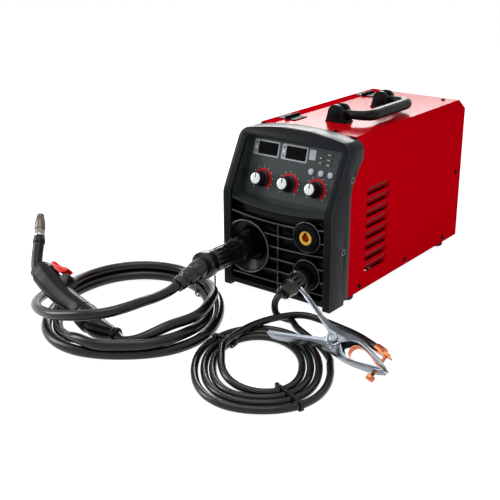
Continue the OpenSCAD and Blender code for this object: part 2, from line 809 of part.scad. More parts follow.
// Sliding door catch: finger plate outside, neck through the door, tongue inside.
module door_catch() {
    x0 = -half_w - gap;
    x1 = -in_half + gap + sheet_t + gap;
    color("#1b1c1e") translate([0, catch_y, catch_z]) {
        difference() {
            translate([x0 - 4, -9, -6]) cube([4, 18, 16]);
            for (i = [0:2])
                translate([x0 - 5, -7, -3 + i * 4]) cube([2, 14, 1.6]);
        }
        translate([x0 - 1, -5, -5]) cube([x1 - x0 + 2, 10, 11]);
        translate([x1, -8, -21]) cube([2.4, 16, 31]);
    }
}

/* Inside ---------- */

// Power block: finned heat sink, circuit board, capacitors and transformer.
module inverter() {
    y0 = front_y + 190;
    fins = 9;
    x0 = divider_foot - divider_x + gap;
    color("#8f959b") translate([x0, y0, foot_h + sheet_t]) {
        cube([in_half - 16, 170, 4]);
        translate([4, 0, 3]) cube([6, 170, 118]);
        for (i = [0:fins - 1])
            translate([9, i * 20, 3]) cube([36, 3, 112]);
        translate([44, 0, 3]) cube([3, 170, 150]);
        for (y = [26, 66])
            translate([46, y, 110]) rod_x(30, 0, 38);
        translate([46, 104, 66]) difference() {
            cube([36, 54, 50]);
            translate([-1, 16, 12]) cube([40, 22, 26]);
        }
        translate([46, 40, 20]) cube([12, 90, 20]);
    }
}

// Fan housing: square frame, round duct, spokes and the motor's cup and pin.
module fan_frame() {
    y1 = inside_y;
    y0 = y1 - fan_t;
    color("#141516") translate([fan_x, 0, fan_z]) {
        difference() {
            along_y(y0, y1) round_rect(fan_size, fan_size, 5);
            rod_y(fan_size - 6, y0 - 1, y1 + 1);
            for (sx = [-1, 1], sz = [-1, 1])
                translate([sx * fan_hole, 0, sz * fan_hole]) rod_y(4.4, y0 - 1, y1 + 1);
        }
        for (a = [45:90:315])
            rotate([0, a, 0]) translate([0, y1 - 4, -2]) cube([fan_size / 2 - 2, 4, 4]);
        rod_y(32, y1 - 4, y1);
        rod_y(6, y0 + 6, y1);
    }
}

// Fan rotor: hub with tilted blades, bored to run on the housing's pin.
module fan_rotor() {
    y1 = inside_y - 4 - gap;
    depth = fan_t - 6;
    color("#1d1f22") translate([fan_x, y1 - depth, fan_z]) difference() {
        union() {
            rod_y(34, 0, depth);
            intersection() {
                rod_y(fan_size - 8, 0, depth - 1);
                for (i = [0:fan_blades - 1])
                    rotate([0, i * 360 / fan_blades, 0]) translate([0, depth / 2, 0])
                        rotate([36, 0, 0]) translate([10, -14, -1]) cube([far, 28, 2]);
            }
        }
        rod_y(6 + 2 * fit, 2, depth + 1);
    }
}

// Motor and gearbox that turn the drive roll, with a bearing bore for its shaft.
module feed_motor() {
    color("#6f757b") translate([-divider_x, motor_y, roll_z]) difference() {
        union() {
            translate([0, -26, -22]) cube([24, 52, 44]);
            rod_x(42, 23, 78);
            rod_x(30, 77, 84);
            for (a = [0:45:315])
                rotate([a, 0, 0]) translate([24, 19, -1.5]) cube([50, 3.4, 3]);
        }
        rod_x(motor_shaft_d + 2 * fit, -1, 18);
    }
}

// Cast feed plate on four posts: wire guides, arm post and the tension boss.
module feed_plate() {
    x1 = -divider_x - 26;
    color("#3a3d40") translate([0, motor_y, 0]) difference() {
        union() {
            translate([x1 - 8, -46, roll_z - 26]) cube([8, 84, 52]);
            for (y = [-38, 30], z = [roll_z - 18, roll_z + 18])
                translate([0, y, z]) rod_x(12, x1 - 1, -divider_x - 2);
            translate([0, arm_y - motor_y, arm_z]) rod_x(8, -euro_x - 10, x1);
            translate([x1 - 8, arm_y - motor_y - 9, roll_z + 20]) cube([8, 18, arm_z - roll_z - 12]);
            translate([-euro_x - 6, -30, wire_z - 6]) cube([euro_x + x1, 12, 12]);
            translate([-euro_x - 6, 22, wire_z - 6]) cube([euro_x + x1, 12, 12]);
            translate([-euro_x, 0, wire_z]) rod_y(9, -46, -29);
            translate([-euro_x - 6, 22, wire_z - 20]) cube([12, 12, 16]);
        }
        translate([0, 0, roll_z]) rod_x(motor_shaft_d + 6, x1 - 20, x1 + 2);
        translate([-euro_x, 0, wire_z]) rod_y(3, -60, 60);
    }
}
wire_z = euro_z;
arm_y = motor_y - 28;
arm_z = wire_z + 30;

// Grooved drive roll with its shaft and knurled clamping cap.
module drive_roll() {
    x0 = -euro_x - 6;
    color("#b9bec3") translate([0, motor_y, roll_z]) {
        rod_x(motor_shaft_d, -euro_x - 12, -divider_x + 16);
        translate([x0, 0, 0]) rotate([0, 90, 0]) rotate_extrude()
            polygon([[0, 0], [roll_d / 2, 0], [roll_d / 2, 2.5], [roll_d / 2 - 1.2, 3.3],
                [roll_d / 2, 4.1], [roll_d / 2, 7.9], [roll_d / 2 - 1.2, 8.7],
                [roll_d / 2, 9.5], [roll_d / 2, 12], [0, 12]]);
        for (a = [0:30:330])
            rotate([a, 0, 0]) translate([x0 - 7, 7.2, -1]) cube([7.5, 1.6, 2]);
        rod_x(16, x0 - 7, x0 + 1);
    }
}

// Swinging pressure arm: eye on the plate's post, axle of the roll, screw pad.
module pressure_arm() {
    x0 = -euro_x + 6 + gap;
    t = 7;
    y_roll = motor_y;
    color("#4a4e52") difference() {
        union() {
            translate([x0, 0, 0]) rotate([90, 0, 90]) linear_extrude(t) difference() {
                union() {
                    translate([arm_y, arm_z]) circle(d = 18);
                    translate([y_roll, press_z]) circle(d = 16);
                    polygon([[arm_y - 4, arm_z + 8], [screw_y + 6, arm_z + 8],
                        [screw_y + 6, arm_z - 4], [y_roll + 8, arm_z - 4],
                        [y_roll + 8, press_z], [y_roll - 8, press_z],
                        [arm_y + 2, arm_z - 8]]);
                }
                translate([arm_y, arm_z]) circle(d = 8 + 2 * fit);
            }
            translate([0, y_roll, press_z]) rod_x(8, -euro_x - 8, x0 + 1);
            translate([x0, screw_y - 7, arm_z - 4]) cube([16, 14, 12]);
        }
        translate([x0 + 8, screw_y, arm_z - 10]) cylinder(d = 6 + 2 * fit, h = 30);
    }
}
press_d = 26;
press_z = wire_z + 1 + press_d / 2;
screw_y = motor_y + 28;

// Plain pressure roll on the arm's axle.
module pressure_roll() {
    color("#b9bec3") translate([0, motor_y, press_z]) difference() {
        rod_x(press_d, -euro_x - 5.7, -euro_x + 5.7);
        rod_x(8 + 2 * fit, -far, far);
    }
}

// Tension screw with its fluted knob, carried by the pressure arm.
module tension_knob() {
    x = -euro_x + 6 + gap + 8;
    z0 = roll_z + 26 + gap;
    color("#c0141c") translate([x, screw_y, 0]) difference() {
        union() {
            translate([0, 0, z0]) cylinder(d = 6, h = arm_z + 20 - z0);
            translate([0, 0, arm_z + 8 + gap]) cylinder(d = 18, h = 24);
            translate([0, 0, arm_z - 4 - gap - 3]) cylinder(d = 10, h = 3);
        }
        for (a = [0:45:315])
            rotate(a) translate([9.4, 0, arm_z + 12]) cylinder(d = 4, h = 30);
    }
}

// Spindle of the wire spool: flange on the divider, shaft and end collar.
module spool_spindle() {
    color("#2a2c2f") translate([0, front_y + spool_y, spool_z]) {
        rod_x(60, -divider_x - 6, -divider_x - 2);
        rod_x(11, -divider_x - 5, -divider_x);
        rod_x(16, -divider_x - hub_l - 16, -divider_x - 5);
        rod_x(24, -divider_x - hub_l - 16, -divider_x - hub_l - 8);
    }
}

// Spool hub that turns on the spindle: ribbed barrel, rim and driving peg.
module spool_hub() {
    x1 = -divider_x - 6 - gap;
    color("#d8d9d6") translate([0, front_y + spool_y, spool_z]) difference() {
        union() {
            rod_x(hub_d - 4, x1 - hub_l, x1);
            rod_x(hub_d + 12, x1 - 3, x1);
            for (a = [0:45:315])
                rotate([a, 0, 0]) translate([x1 - hub_l, hub_d / 2 - 4, -1.5])
                    cube([hub_l, 4, 3]);
            translate([0, 0, hub_d / 2 + 2]) rod_x(6, x1 - 14, x1);
        }
        rod_x(16 + 2 * fit, -far, far);
    }
}

// Gas inlet: brass hose barb and nut outside, valve body and coil inside.
module gas_valve() {
    color("#c98a2b") translate([gas_x, 0, gas_z]) difference() {
        union() {
            rod_y(12, panel_rear - 30, panel_rear + 8);
            translate([0, panel_rear + 6 + gap, 0]) rotate([90, 0, 0])
                cylinder(d = 20, h = 6, $fn = 6);
            rod_y(gas_barb_d - 1.6, panel_rear + 5, panel_rear + 30);
            for (i = [0:2])
                translate([0, panel_rear + 12 + i * 6, 0]) rotate([-90, 0, 0])
                    cylinder(d1 = gas_barb_d, d2 = gas_barb_d - 1.8, h = 5);
            translate([-10, panel_rear - 46, -9]) cube([20, 40, 18]);
            translate([0, panel_rear - 34, 8]) cylinder(d = 20, h = 24);
        }
        rod_y(4, panel_rear - 44, panel_rear + 40);
    }
}
gas_barb_d = 8.6;

// Cable gland of the mains lead: nut inside, body, dome with its bore.
module mains_gland() {
    color("#141516") translate([gland_x, 0, gland_z]) difference() {
        union() {
            rod_y(20, panel_rear - 14, panel_rear + 14);
            translate([0, panel_rear + 8, 0]) rotate([90, 0, 0])
                cylinder(d = 28, h = 8, $fn = 6);
            translate([0, panel_rear + 8, 0]) rotate([-90, 0, 0])
                cylinder(d1 = 24, d2 = 17, h = 14);
            translate([0, inside_y, 0]) rotate([90, 0, 0])
                cylinder(d = 27, h = 5, $fn = 6);
        }
        rod_y(10, panel_rear - 20, panel_rear + 30);
    }
}

// Rocker of the mains switch, curved so that one end stands out.
module power_rocker() {
    r = 34;
    color("#c0141c") translate([rocker_x, panel_rear - 6, rocker_z]) difference() {
        along_x(rocker_w - 6) difference() {
            polygon([[-8, -6], [-8, 6], [4, rocker_h / 2 - 4], [10, rocker_h / 2 - 4],
                [7.6, 0], [10, -rocker_h / 2 + 4], [4, -rocker_h / 2 + 4]]);
            circle(d = 4 + 2 * fit);
        }
        translate([-1, 8.2, 4]) cube([2, 3, 5]);
    }
}

// Screws of the case: pan heads with a cross recess and their shanks.
module pan_screw() {
    difference() {
        union() {
            cylinder(d1 = 8, d2 = 6.4, h = 2.4);
            translate([0, 0, -6]) cylinder(d = 4, h = 7);
        }
        translate([-2, -0.5, 1.2]) cube([4, 1, 2]);
        translate([-0.5, -2, 1.2]) cube([1, 4, 2]);
    }
}
module case_screws() {
    color("#3a3c3f") {
        for (p = side_screws)
            translate([half_w, p[0], p[1]]) rotate([0, 90, 0]) pan_screw();
        for (p = top_screws)
            translate([p[0], p[1], cover_top]) pan_screw();
    }
}

/* Torch ---------- */

// Plug of the torch lead: stub in the socket, ribbed housing, ring, drooping boot.
module torch_plug() {
    color("#17181a") translate([-euro_x, 0, euro_z]) {
        rod_y(plug_stub_d, front_y - 10, front_y + 17);
        rod_y(nut_bore_d, front_y - 30, front_y - 8);
        difference() {
            rod_y(plug_d, front_y - 92, front_y - 28 - gap);
            for (a = [0:24:336])
                rotate([0, a, 0]) translate([plug_d / 2 - 1, front_y - 80, -1.5])
                    cube([3, 40, 3]);
        }
        rod_y(plug_d + 6, front_y - 112, front_y - 98);
        rod_y(plug_d - 4, front_y - 99, front_y - 91);
        translate([0, front_y - 110, 0]) rotate([90 + boot_droop, 0, 0]) rotate_extrude()
            polygon([[0, -6], [15, -6], [15, 0], [16, 4], [15.6, 20], [13.4, 24],
                [13.4, 27], [14.6, 29], [13.6, 44], [11.4, 47], [11.4, 50], [12.4, 52],
                [11.4, boot_l], [0, boot_l]]);
    }
}
nut_bore_d = 28;
plug_d = 38;
boot_droop = 12;
boot_l = 63;

// Ribbed union nut that locks the torch plug to its socket; it turns on the plug.
module torch_plug_nut() {
    color("#202224") translate([-euro_x, 0, euro_z]) difference() {
        union() {
            rod_y(plug_d + 4, front_y - 28, front_y - 8 - gap);
            for (a = [0:30:330])
                rotate([0, a, 0]) translate([plug_d / 2, front_y - 26, -2.5])
                    cube([4, 16, 5]);
        }
        rod_y(nut_bore_d + 2 * fit, front_y - 40, front_y);
    }
}

// Places children in the torch's own frame: X along the handle, Y to the trigger.
module at_torch() {
    translate(torch_at) rotate(torch_turn) children();
}
torch_at = [-138, -502, 41];
torch_turn = [135, -13, 168.5];

// A body turned about the torch's X axis from points of X and radius.
module turned(points) {
    rotate([0, 90, 0]) rotate_extrude()
        polygon(concat([[0, points[0][0]]], [for (p = points) [p[1], p[0]]],
            [[0, points[len(points) - 1][0]]]));
}

// Torch handle: swelling grip with finger ribs and the trigger's pocket.
module torch_handle() {
    l = torch_handle_l;
    color("#26282b") at_torch() {
        difference() {
            union() {
                turned([[0, 15.5], [6, 17], [30, 17.5], [60, 16], [85, 16.5], [110, 18],
                    [126, 15.5], [l, 10.5]]);
                for (i = [0:6])
                    translate([14 + i * 9, 0, 0]) rod_x(36.6, -2, 2);
                translate([88, 0, -7.5]) cube([38, 19, 15]);
            }
            translate([90, 8, -trigger_w / 2 - gap])
                cube([34, 14, trigger_w + 2 * gap]);
        }
        translate([119, 14, -7]) cylinder(d = 3.4, h = 14);
    }
}
trigger_w = 9;

// Torch trigger: a sprung red lever on its pin.
module torch_trigger() {
    color("#f02020") at_torch() translate([0, 0, -trigger_w / 2]) difference() {
        linear_extrude(trigger_w) union() {
            polygon([[92, 12], [120, 11], [123, 15], [121, 20], [116, 21.5], [110, 19.5],
                [104, 20], [98, 24], [93, 25.5], [91, 21]]);
            translate([119, 14]) circle(d = 6);
        }
        translate([119, 14, -1]) cylinder(d = 3.4 + 2 * fit, h = trigger_w + 2);
    }
}

// Bent neck of the torch, from the handle to the nozzle's collar.
module torch_neck() {
    l = torch_handle_l;
    color("#1d1f21") at_torch() {
        turned([[l, 9.5], [l + 6, neck_d / 2 + 0.8], [l + 11, neck_d / 2 + 0.3]]);
        translate([l + 10, neck_bend_r, 0]) rotate(-90)
            rotate_extrude(angle = neck_bend) translate([neck_bend_r, 0]) circle(d = neck_d);
        at_neck_end() turned([[-1, neck_d / 2 + 0.3], [12, neck_d / 2 + 0.3],
            [12, neck_d / 2 + 1], [20, neck_d / 2 + 1]]);
    }
}
neck_bend_r = 34;
module at_neck_end() {
    translate([torch_handle_l + 10, neck_bend_r, 0]) rotate(neck_bend - 90)
        translate([neck_bend_r, 0, 0]) rotate(90) children();
}

// Gas nozzle: collar with holes, spring ring, tapering bore and contact tip.
module torch_nozzle() {
    x0 = 20;
    color("#8d867e") at_torch() at_neck_end() difference() {
        union() {
            turned([[x0, 7.2], [x0 + 10, 7.2], [x0 + 10, 5.6], [x0 + 18, 5.6]]);
            for (i = [0:2])
                translate([x0 + 11.4 + i * 2.4, 0, 0]) rotate([0, 90, 0])
                    rotate_extrude() translate([5.8, 0]) circle(d = 2.3, $fn = 16);
            turned([[x0 + 17, 7.6], [x0 + 40, 7.4], [x0 + nozzle_l, nozzle_tip_d / 2]]);
        }
        translate([x0 + 26, 0, 0]) rod_x(nozzle_tip_d - 3, 0, nozzle_l);
        for (a = [0:45:315])
            rotate([a, 0, 0]) translate([x0 + 5, 0, 5]) cylinder(d = 1.8, h = 4);
    }
    color("#8d867e") at_torch() at_neck_end() turned([[x0 + 25, 4.5], [x0 + 32, 4.5],
        [x0 + 34, 3], [x0 + nozzle_l - 3, 2.4]]);
}

// Ribbed strain-relief boot at the torch handle's rear end.
module torch_boot() {
    color("#141516") at_torch() turned([[-torch_boot_l, 11.4], [-torch_boot_l + 2, 12.4],
        [-52, 12.8], [-51, 11.6], [-47, 11.6], [-46, 13.2], [-34, 13.8], [-33, 12.4],
        [-29, 12.4], [-28, 14.2], [-6, 15], [-4, 17], [0, 17]]);
}
torch_boot_l = 67;

/* Earth lead ---------- */

// Plug of the earth lead in the lower socket: pin with key, grip and tapered boot.
module earth_plug() {
    pin = dinse_bore_d - 2 * gap;
    color("#141516") translate([dinse_x, 0, dinse_low_z]) {
        rod_y(pin, front_y - 14, front_y + dinse_depth - 4);
        translate([-2, front_y - 2, pin / 2 - 1]) cube([4, 12, 2.6]);
        rod_y(dinse_brass_d + 2, front_y - 10, front_y - gap);
        translate([0, front_y - 5, 0]) rotate([90 + plug_droop, 0, 0]) difference() {
            rotate_extrude() polygon([[0, 1], [14.5, 1], [17.5, 4], [17.5, 12],
                [15, 14], [15, 34], [13.4, 38], [12, 54], [9, earth_plug_l],
                [0, earth_plug_l]]);
            for (a = [0:30:330])
                rotate(a) translate([14, -1.4, 16]) cube([3, 2.8, 17]);
        }
    }
}
plug_droop = 10;
earth_plug_l = 57;

// Places children in the clamp's frame: X to the jaw tips, Y to the upper arm.
module at_clamp() {
    translate(clamp_at) rotate(clamp_turn) children();
}
clamp_at = [203, -353, 35];
clamp_turn = [40, 8, -8];

// Pressed channel arm of the clamp, w wide over its flanges.
module clamp_arm(w) {
    t = 1.8;
    h = clamp_handle_l;
    back = [[-h, 43], [-70, 35], [-36, 22], [-12, 15], [14, 17], [40, 17.5],
        [66, 14], [80, 9], [jaw_l, 3.4]];
    inner = [[jaw_l, 0.6], [80, 3], [68, 4.5], [46, 9], [26, 9], [12, -2], [9, -9],
        [-9, -9], [-14, 4], [-36, 14], [-70, 28], [-h, 38]];
    difference() {
        translate([0, 0, -w / 2]) linear_extrude(w) polygon(concat(back, inner));
        translate([0, 0, -w / 2 + t]) linear_extrude(w - 2 * t)
            polygon(concat([for (p = back) p - [0, t]],
                [[jaw_l + 1, 9 - t], [jaw_l + 1, -30], [-h - 1, -30], [-h - 1, 43 - t]]));
    }
}

// Lower jaw and handle of the clamp, bored for the rivet.
module clamp_lower_jaw() {
    color("#aab4bc") at_clamp() difference() {
        mirror([0, 1, 0]) clamp_arm(clamp_w - 4.2);
        translate([0, 0, -clamp_w]) cylinder(d = rivet_d, h = 2 * clamp_w);
        translate([clamp_bolt_x, 0, 0]) rotate([90, 0, 0]) cylinder(d = 6, h = 30);
    }
}
clamp_bolt_x = 78;

// Upper jaw and handle, which turns on the rivet.
module clamp_upper_jaw() {
    color("#aab4bc") at_clamp() difference() {
        clamp_arm(clamp_w);
        translate([0, 0, -clamp_w]) cylinder(d = rivet_d + 2 * fit, h = 2 * clamp_w);
        translate([clamp_bolt_x, 0, 0]) rotate([-90, 0, 0]) cylinder(d = 6, h = 30);
    }
}

// Rivet of the clamp with its heads, and the closed coils of the spring on it.
module clamp_pivot() {
    half = clamp_w / 2 + gap;
    color("#c6ccd0") at_clamp() {
        translate([0, 0, -half]) cylinder(d = rivet_d, h = 2 * half);
        for (s = [-1, 1])
            translate([0, 0, s * (half + 1)]) rotate_extrude()
                polygon([[0, -1], [6.5, -1], [6, 0.4], [4, 1], [0, 1]]);
        for (i = [-2:2])
            translate([0, 0, i * 2.5]) rotate_extrude()
                translate([5, 0]) circle(d = 2.6, $fn = 16);
    }
}

// Copper strip looped in the clamp's mouth, with the bolt of the lower jaw.
module clamp_strap() {
    side = [[84, 1.1], [67, 2.4], [57, 4.8], [48, 6.8], [40, 6.4], [34, 3.6]];
    color("#c8693c") at_clamp() {
        translate([0, 0, -5]) linear_extrude(10)
            polygon(concat([[88, -2.3]], [for (p = side) [p[0], -p[1] - 1.2]], [[31, 0]],
                [for (i = [5:-1:1]) side[i] + [0, 1.2]], [for (i = [1:5]) side[i]],
                [[32.2, 0]], [for (i = [5:-1:0]) [side[i][0], -side[i][1]]], [[88, -1.1]]));
        translate([clamp_bolt_x, 0, 0]) rotate([90, 0, 0]) {
            translate([0, 0, 1]) cylinder(d = 6 - 2 * gap, h = 17);
            translate([0, 0, 18]) cylinder(d = 11, h = 4, $fn = 6);
            translate([0, 0, 0.8]) cylinder(d = 9, h = 1.6);
        }
    }
}

// Bolts of the upper jaw with their contact pad, and the lug of the earth lead.
module clamp_bolts() {
    color("#c8693c") at_clamp() {
        translate([clamp_bolt_x, 0, 0]) rotate([-90, 0, 0]) {
            translate([0, 0, 1]) cylinder(d = 6 - 2 * gap, h = 18);
            translate([0, 0, 18]) cylinder(d = 11, h = 5, $fn = 6);
        }
        translate([clamp_bolt_x - 4, 0.6, -5]) cube([12, 1.6, 10]);
        translate([clamp_bolt_x - 12, 18, -6]) cube([20, 2, 12]);
        difference() {
            translate(lug_at) rotate(lug_turn) rod_x(earth_cable_d + 3, gap, 16);
            translate([-30, -40, -30]) cube([120, 58, 60]);
        }
    }
}
lug_at = [55, 24, -8];
lug_turn = [0, -16, -8];

/* Cables ---------- */

function unit(v) = v / norm(v);

// The vector v turned by the three angles a, as rotate() turns it.
function turn_x(v, a) = [v[0], v[1] * cos(a) - v[2] * sin(a), v[1] * sin(a) + v[2] * cos(a)];
function turn_y(v, a) = [v[0] * cos(a) + v[2] * sin(a), v[1], v[2] * cos(a) - v[0] * sin(a)];
function turn_z(v, a) = [v[0] * cos(a) - v[1] * sin(a), v[0] * sin(a) + v[1] * cos(a), v[2]];
function turn(v, a) = turn_z(turn_y(turn_x(v, a[0]), a[1]), a[2]);

// Directions along the points p, and normals carried along them without twist.
function tangents(p) = let (n = len(p) - 1)
    [for (i = [0:n]) unit(p[min(i + 1, n)] - p[max(i - 1, 0)])];
function normals(t, m, i = 0) = i == len(t) ? []
    : let (n = unit(m - (m * t[i]) * t[i])) concat([n], normals(t, n, i + 1));

// Triangles between n rings of k points, with a fan of triangles over each end.
function tube_faces(n, k) = concat(
    [for (i = [0:n - 2], j = [0:k - 1], f = [0, 1])
        let (a = i * k + j, b = i * k + (j + 1) % k)
        f == 0 ? [a, a + k, b + k] : [a, b + k, b]],
    [for (j = [1:k - 2]) [0, j, j + 1]],
    [for (j = [1:k - 2]) let (c = (n - 1) * k) [c, c + j + 1, c + j]]);

// A round tube of diameter d along the points p with the directions t.
module tube(p, t, d, k) {
    m = normals(t, [0, 0, 1]);
    polyhedron(points = [for (i = [0:len(p) - 1], j = [0:k - 1])
        let (a = (j + 0.5) * 360 / k)
        p[i] + d / 2 * (cos(a) * m[i] + sin(a) * cross(t[i], m[i]))],
        faces = tube_faces(len(p), k));
}

function ease(x) = let (c = min(1, max(0, x))) c * c * (3 - 2 * c);

// A point of an egg-shaped loop about c: half axes w and d, at angle a, height z.
function oval(c, w, d, a, egg, z) = let (
    k = 1 + (sin(a) < 0 ? egg * pow(sin(2 * a), 2) : 0),
    v = turn_z([k * w * cos(a), k * d * sin(a), 0], loop_turn))
    [c[0] + v[0], c[1] + v[1], z];

// The torch cable's coil after t turns. The strand starts outermost, slips inside
// its first turn, climbs on it at the near end and ends nested over both.
function torch_coil(t) = let (
    p = torch_cable_d + 1,
    climb = 104 * (ease((t - 1.4) / 0.2) - ease((t - 1.66) / 0.12)),
    wrap = 180 - 120 * ease((t - 1.8) / 0.2),
    u = t < 1.8 ? -p * ease((t - 0.8) / 0.2) * cos(climb)
        : -p * ease((t - 1.8) / 0.2) + p * cos(wrap),
    z = torch_low + p * (t < 1.8 ? sin(climb) : sin(wrap)))
    oval(torch_coil_at, torch_loop[0] + u, torch_loop[1] + u, 135 - 360 * t, 0.06, z);

// The earth cable's flat coil after t turns; its end climbs over the last strand.
function earth_coil(t) = let (u = (earth_cable_d + 1) * t + 4 * ease(t / 0.9))
    oval(earth_coil_at, earth_loop[0] - u, earth_loop[1] - u - 2 * t, -360 * t, 0.05,
    earth_low + (earth_cable_d + 1) * ease((t - 3.2) / 0.3));

torch_low = torch_cable_d / 2 + 1.5;
earth_low = earth_cable_d / 2 + 1.5;
torch_turns = 2.25;
earth_turns = 3.5;
rings = 24;
loop_turn = 38;
torch_coil_at = [-145.5, -405];
torch_loop = [136, 160];
earth_coil_at = [126, -430.5];
earth_loop = [100, 131];
torch_path = [for (i = [0:torch_turns * rings]) torch_coil(i / rings)];
torch_dirs = [for (i = [0:torch_turns * rings])
    unit(torch_coil((i + 0.02) / rings) - torch_coil((i - 0.02) / rings))];
earth_path = [for (i = [0:earth_turns * rings]) earth_coil(i / rings)];
earth_dirs = [for (i = [0:earth_turns * rings])
    unit(earth_coil((i + 0.02) / rings) - earth_coil((i - 0.02) / rings))];

plug_dir = [0, -cos(boot_droop), -sin(boot_droop)];
plug_end = [-euro_x, front_y - 110, euro_z] + boot_l * plug_dir;
torch_dir = turn([1, 0, 0], torch_turn);
torch_end = torch_at - torch_boot_l * torch_dir;
earth_plug_dir = [0, -cos(plug_droop), -sin(plug_droop)];
earth_plug_end = [dinse_x, front_y - 5, dinse_low_z] + earth_plug_l * earth_plug_dir;
lug_dir = turn(turn([1, 0, 0], lug_turn), clamp_turn);
lug_end = clamp_at + turn(lug_at, clamp_turn);

// A free stretch of cable: it leaves a along da and enters b along db, both straight.
function route(a, da, mid, b, db, d) = concat([a, a + d * da], mid, [b - d * db, b]);
function last(v) = v[len(v) - 1];

torch_lead = route(plug_end, plug_dir,
    [[-62, -440, 64], [-66, -468, 64.5], [-72, -494, 63.5], [-81, -515, 62],
    [-95, -532, 60], [-115, -543, 56.5], [-143, -549, 51], [-175, -549, 44],
    [-215, -538, 36], [-250, -518, 28], [-277, -491, 21], [-296, -458, 15.5],
    [-303, -424, 11.5]], torch_path[0], torch_dirs[0], torch_cable_d);
torch_tail = route(last(torch_path), last(torch_dirs),
    [[-110, -276, 25], [-88, -288, 27], [-67, -304, 30], [-49, -323, 32.5],
    [-35, -345, 35.5], [-22, -368, 37.5], [-11, -392, 39], [-6, -417, 39.5],
    [-8.5, -437, 39.5], [-14, -455, 39], [-19, -473, 37], [-25.5, -488, 33],
    [-33.5, -501, 28.5], [-44, -511, 24.5]], torch_end, torch_dir, torch_cable_d);
earth_lead = route(earth_plug_end, earth_plug_dir,
    [[59, -302.5, 41], [59, -304, 31.5], [59, -301, 21.5], [60.5, -294.5, 13.5],
    [64.5, -288, 9], [71, -284.5, 7.2], [79, -285.5, 7], [87, -291, 7],
    [98, -299.5, 7], [112, -307, 7], [133, -317, 7], [153, -327, 7], [175, -340, 7]],
    earth_path[0], earth_dirs[0], earth_cable_d);
earth_tail = route(last(earth_path), last(earth_dirs),
    [[60, -430, 19.5], [56, -397, 20], [55, -360, 19.5], [61, -328, 19], [72, -303.5, 19],
    [85, -286, 19], [101, -275, 18], [131, -272, 16], [160, -279, 18],
    [190, -292, 23], [216, -308, 29], [237, -323, 34]],
    lug_end, lug_dir, earth_cable_d);

// Least gap between strands of a coil, measured on its points some turns apart.
function least_gap(p, d, apart) = min([for (i = [0:len(p) - 1], j = [0:len(p) - 1])
    if (j - i >= apart) norm(p[i] - p[j]) - d]);
echo(torch_coil_gap = least_gap(torch_path, torch_cable_d, rings / 2));
echo(earth_coil_gap = least_gap(earth_path, earth_cable_d, rings / 2));

// The stretches of both cables.
module stretch(p, t, d, k = 10) { color("#101113") tube(p, t, d, k); }
module torch_cable_lead() { stretch(torch_lead, tangents(torch_lead), torch_cable_d); }
module torch_cable_coil() { stretch(torch_path, torch_dirs, torch_cable_d, 6); }
module torch_cable_tail() { stretch(torch_tail, tangents(torch_tail), torch_cable_d); }
module earth_cable_lead() { stretch(earth_lead, tangents(earth_lead), earth_cable_d); }
module earth_cable_coil() { stretch(earth_path, earth_dirs, earth_cable_d, 6); }
module earth_cable_tail() { stretch(earth_tail, tangents(earth_tail), earth_cable_d); }

// A flat strap round a bundle w wide and h high, with its head on the inner side.
module strap(w, h) {
    rotate([90, 0, 0]) translate([0, 0, -2.5]) linear_extrude(5) difference() {
        union() {
            round_rect(w + 2, h + 2, 5);
            translate([w / 2, h / 2 - 6]) square([5, 7]);
        }
        round_rect(w, h, 4);
    }
}

// Places a strap on the strand p with the direction t, moved by x inward and z up.
module on_strand(p, t, x, z) {
    translate([p[0], p[1], z]) rotate(atan2(t[1], t[0]) - 90) translate([x, 0, 0]) children();
}

// Straps that hold the coils together.
module cable_ties() {
    u = torch_cable_d;
    e = earth_cable_d;
    color("#0c0d0e") {
        on_strand(torch_path[7], torch_dirs[7], (u + 1) / 2, torch_low + u / 2 + 0.1)
            strap(2 * u + 3, 2 * u + 1.2);
        for (k = [[4, 3], [15, 2]]) {
            p = earth_path[k[0]];
            reach = norm(earth_path[k[0] + k[1] * rings] - p);
            on_strand(p, earth_dirs[k[0]], reach / 2, earth_low) strap(reach + e + 2, e + 0.9);
        }
    }
}

base_tray();
right_cover();
rear_panel();
front_frame();
front_grille();
control_panel();
display_lenses();
torch_socket();
power_socket_flanges();
power_socket_inserts();
feet();
handle_brackets();
hinge_leaves();
control_board();
inverter();
fan_frame();
divider();
feed_motor();
feed_plate();
spool_spindle();
gas_valve();
mains_gland();
case_screws();
torch_plug();
torch_nozzle();
torch_neck();
torch_handle();
torch_boot();
earth_plug();
clamp_lower_jaw();
clamp_pivot();
clamp_strap();
torch_cable_lead();
torch_cable_coil();
torch_cable_tail();
earth_cable_lead();
earth_cable_coil();
earth_cable_tail();
cable_ties();
carry_handle();
side_door();
door_hinges();
door_catch();
knob_left();
knob_middle();
knob_right();
button_left();
button_middle();
button_right();
fan_rotor();
drive_roll();
pressure_arm();
pressure_roll();
tension_knob();
spool_hub();
power_rocker();
torch_trigger();
clamp_upper_jaw();
clamp_bolts();
torch_plug_nut();
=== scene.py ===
import bpy
import numpy as np
from mathutils import Matrix


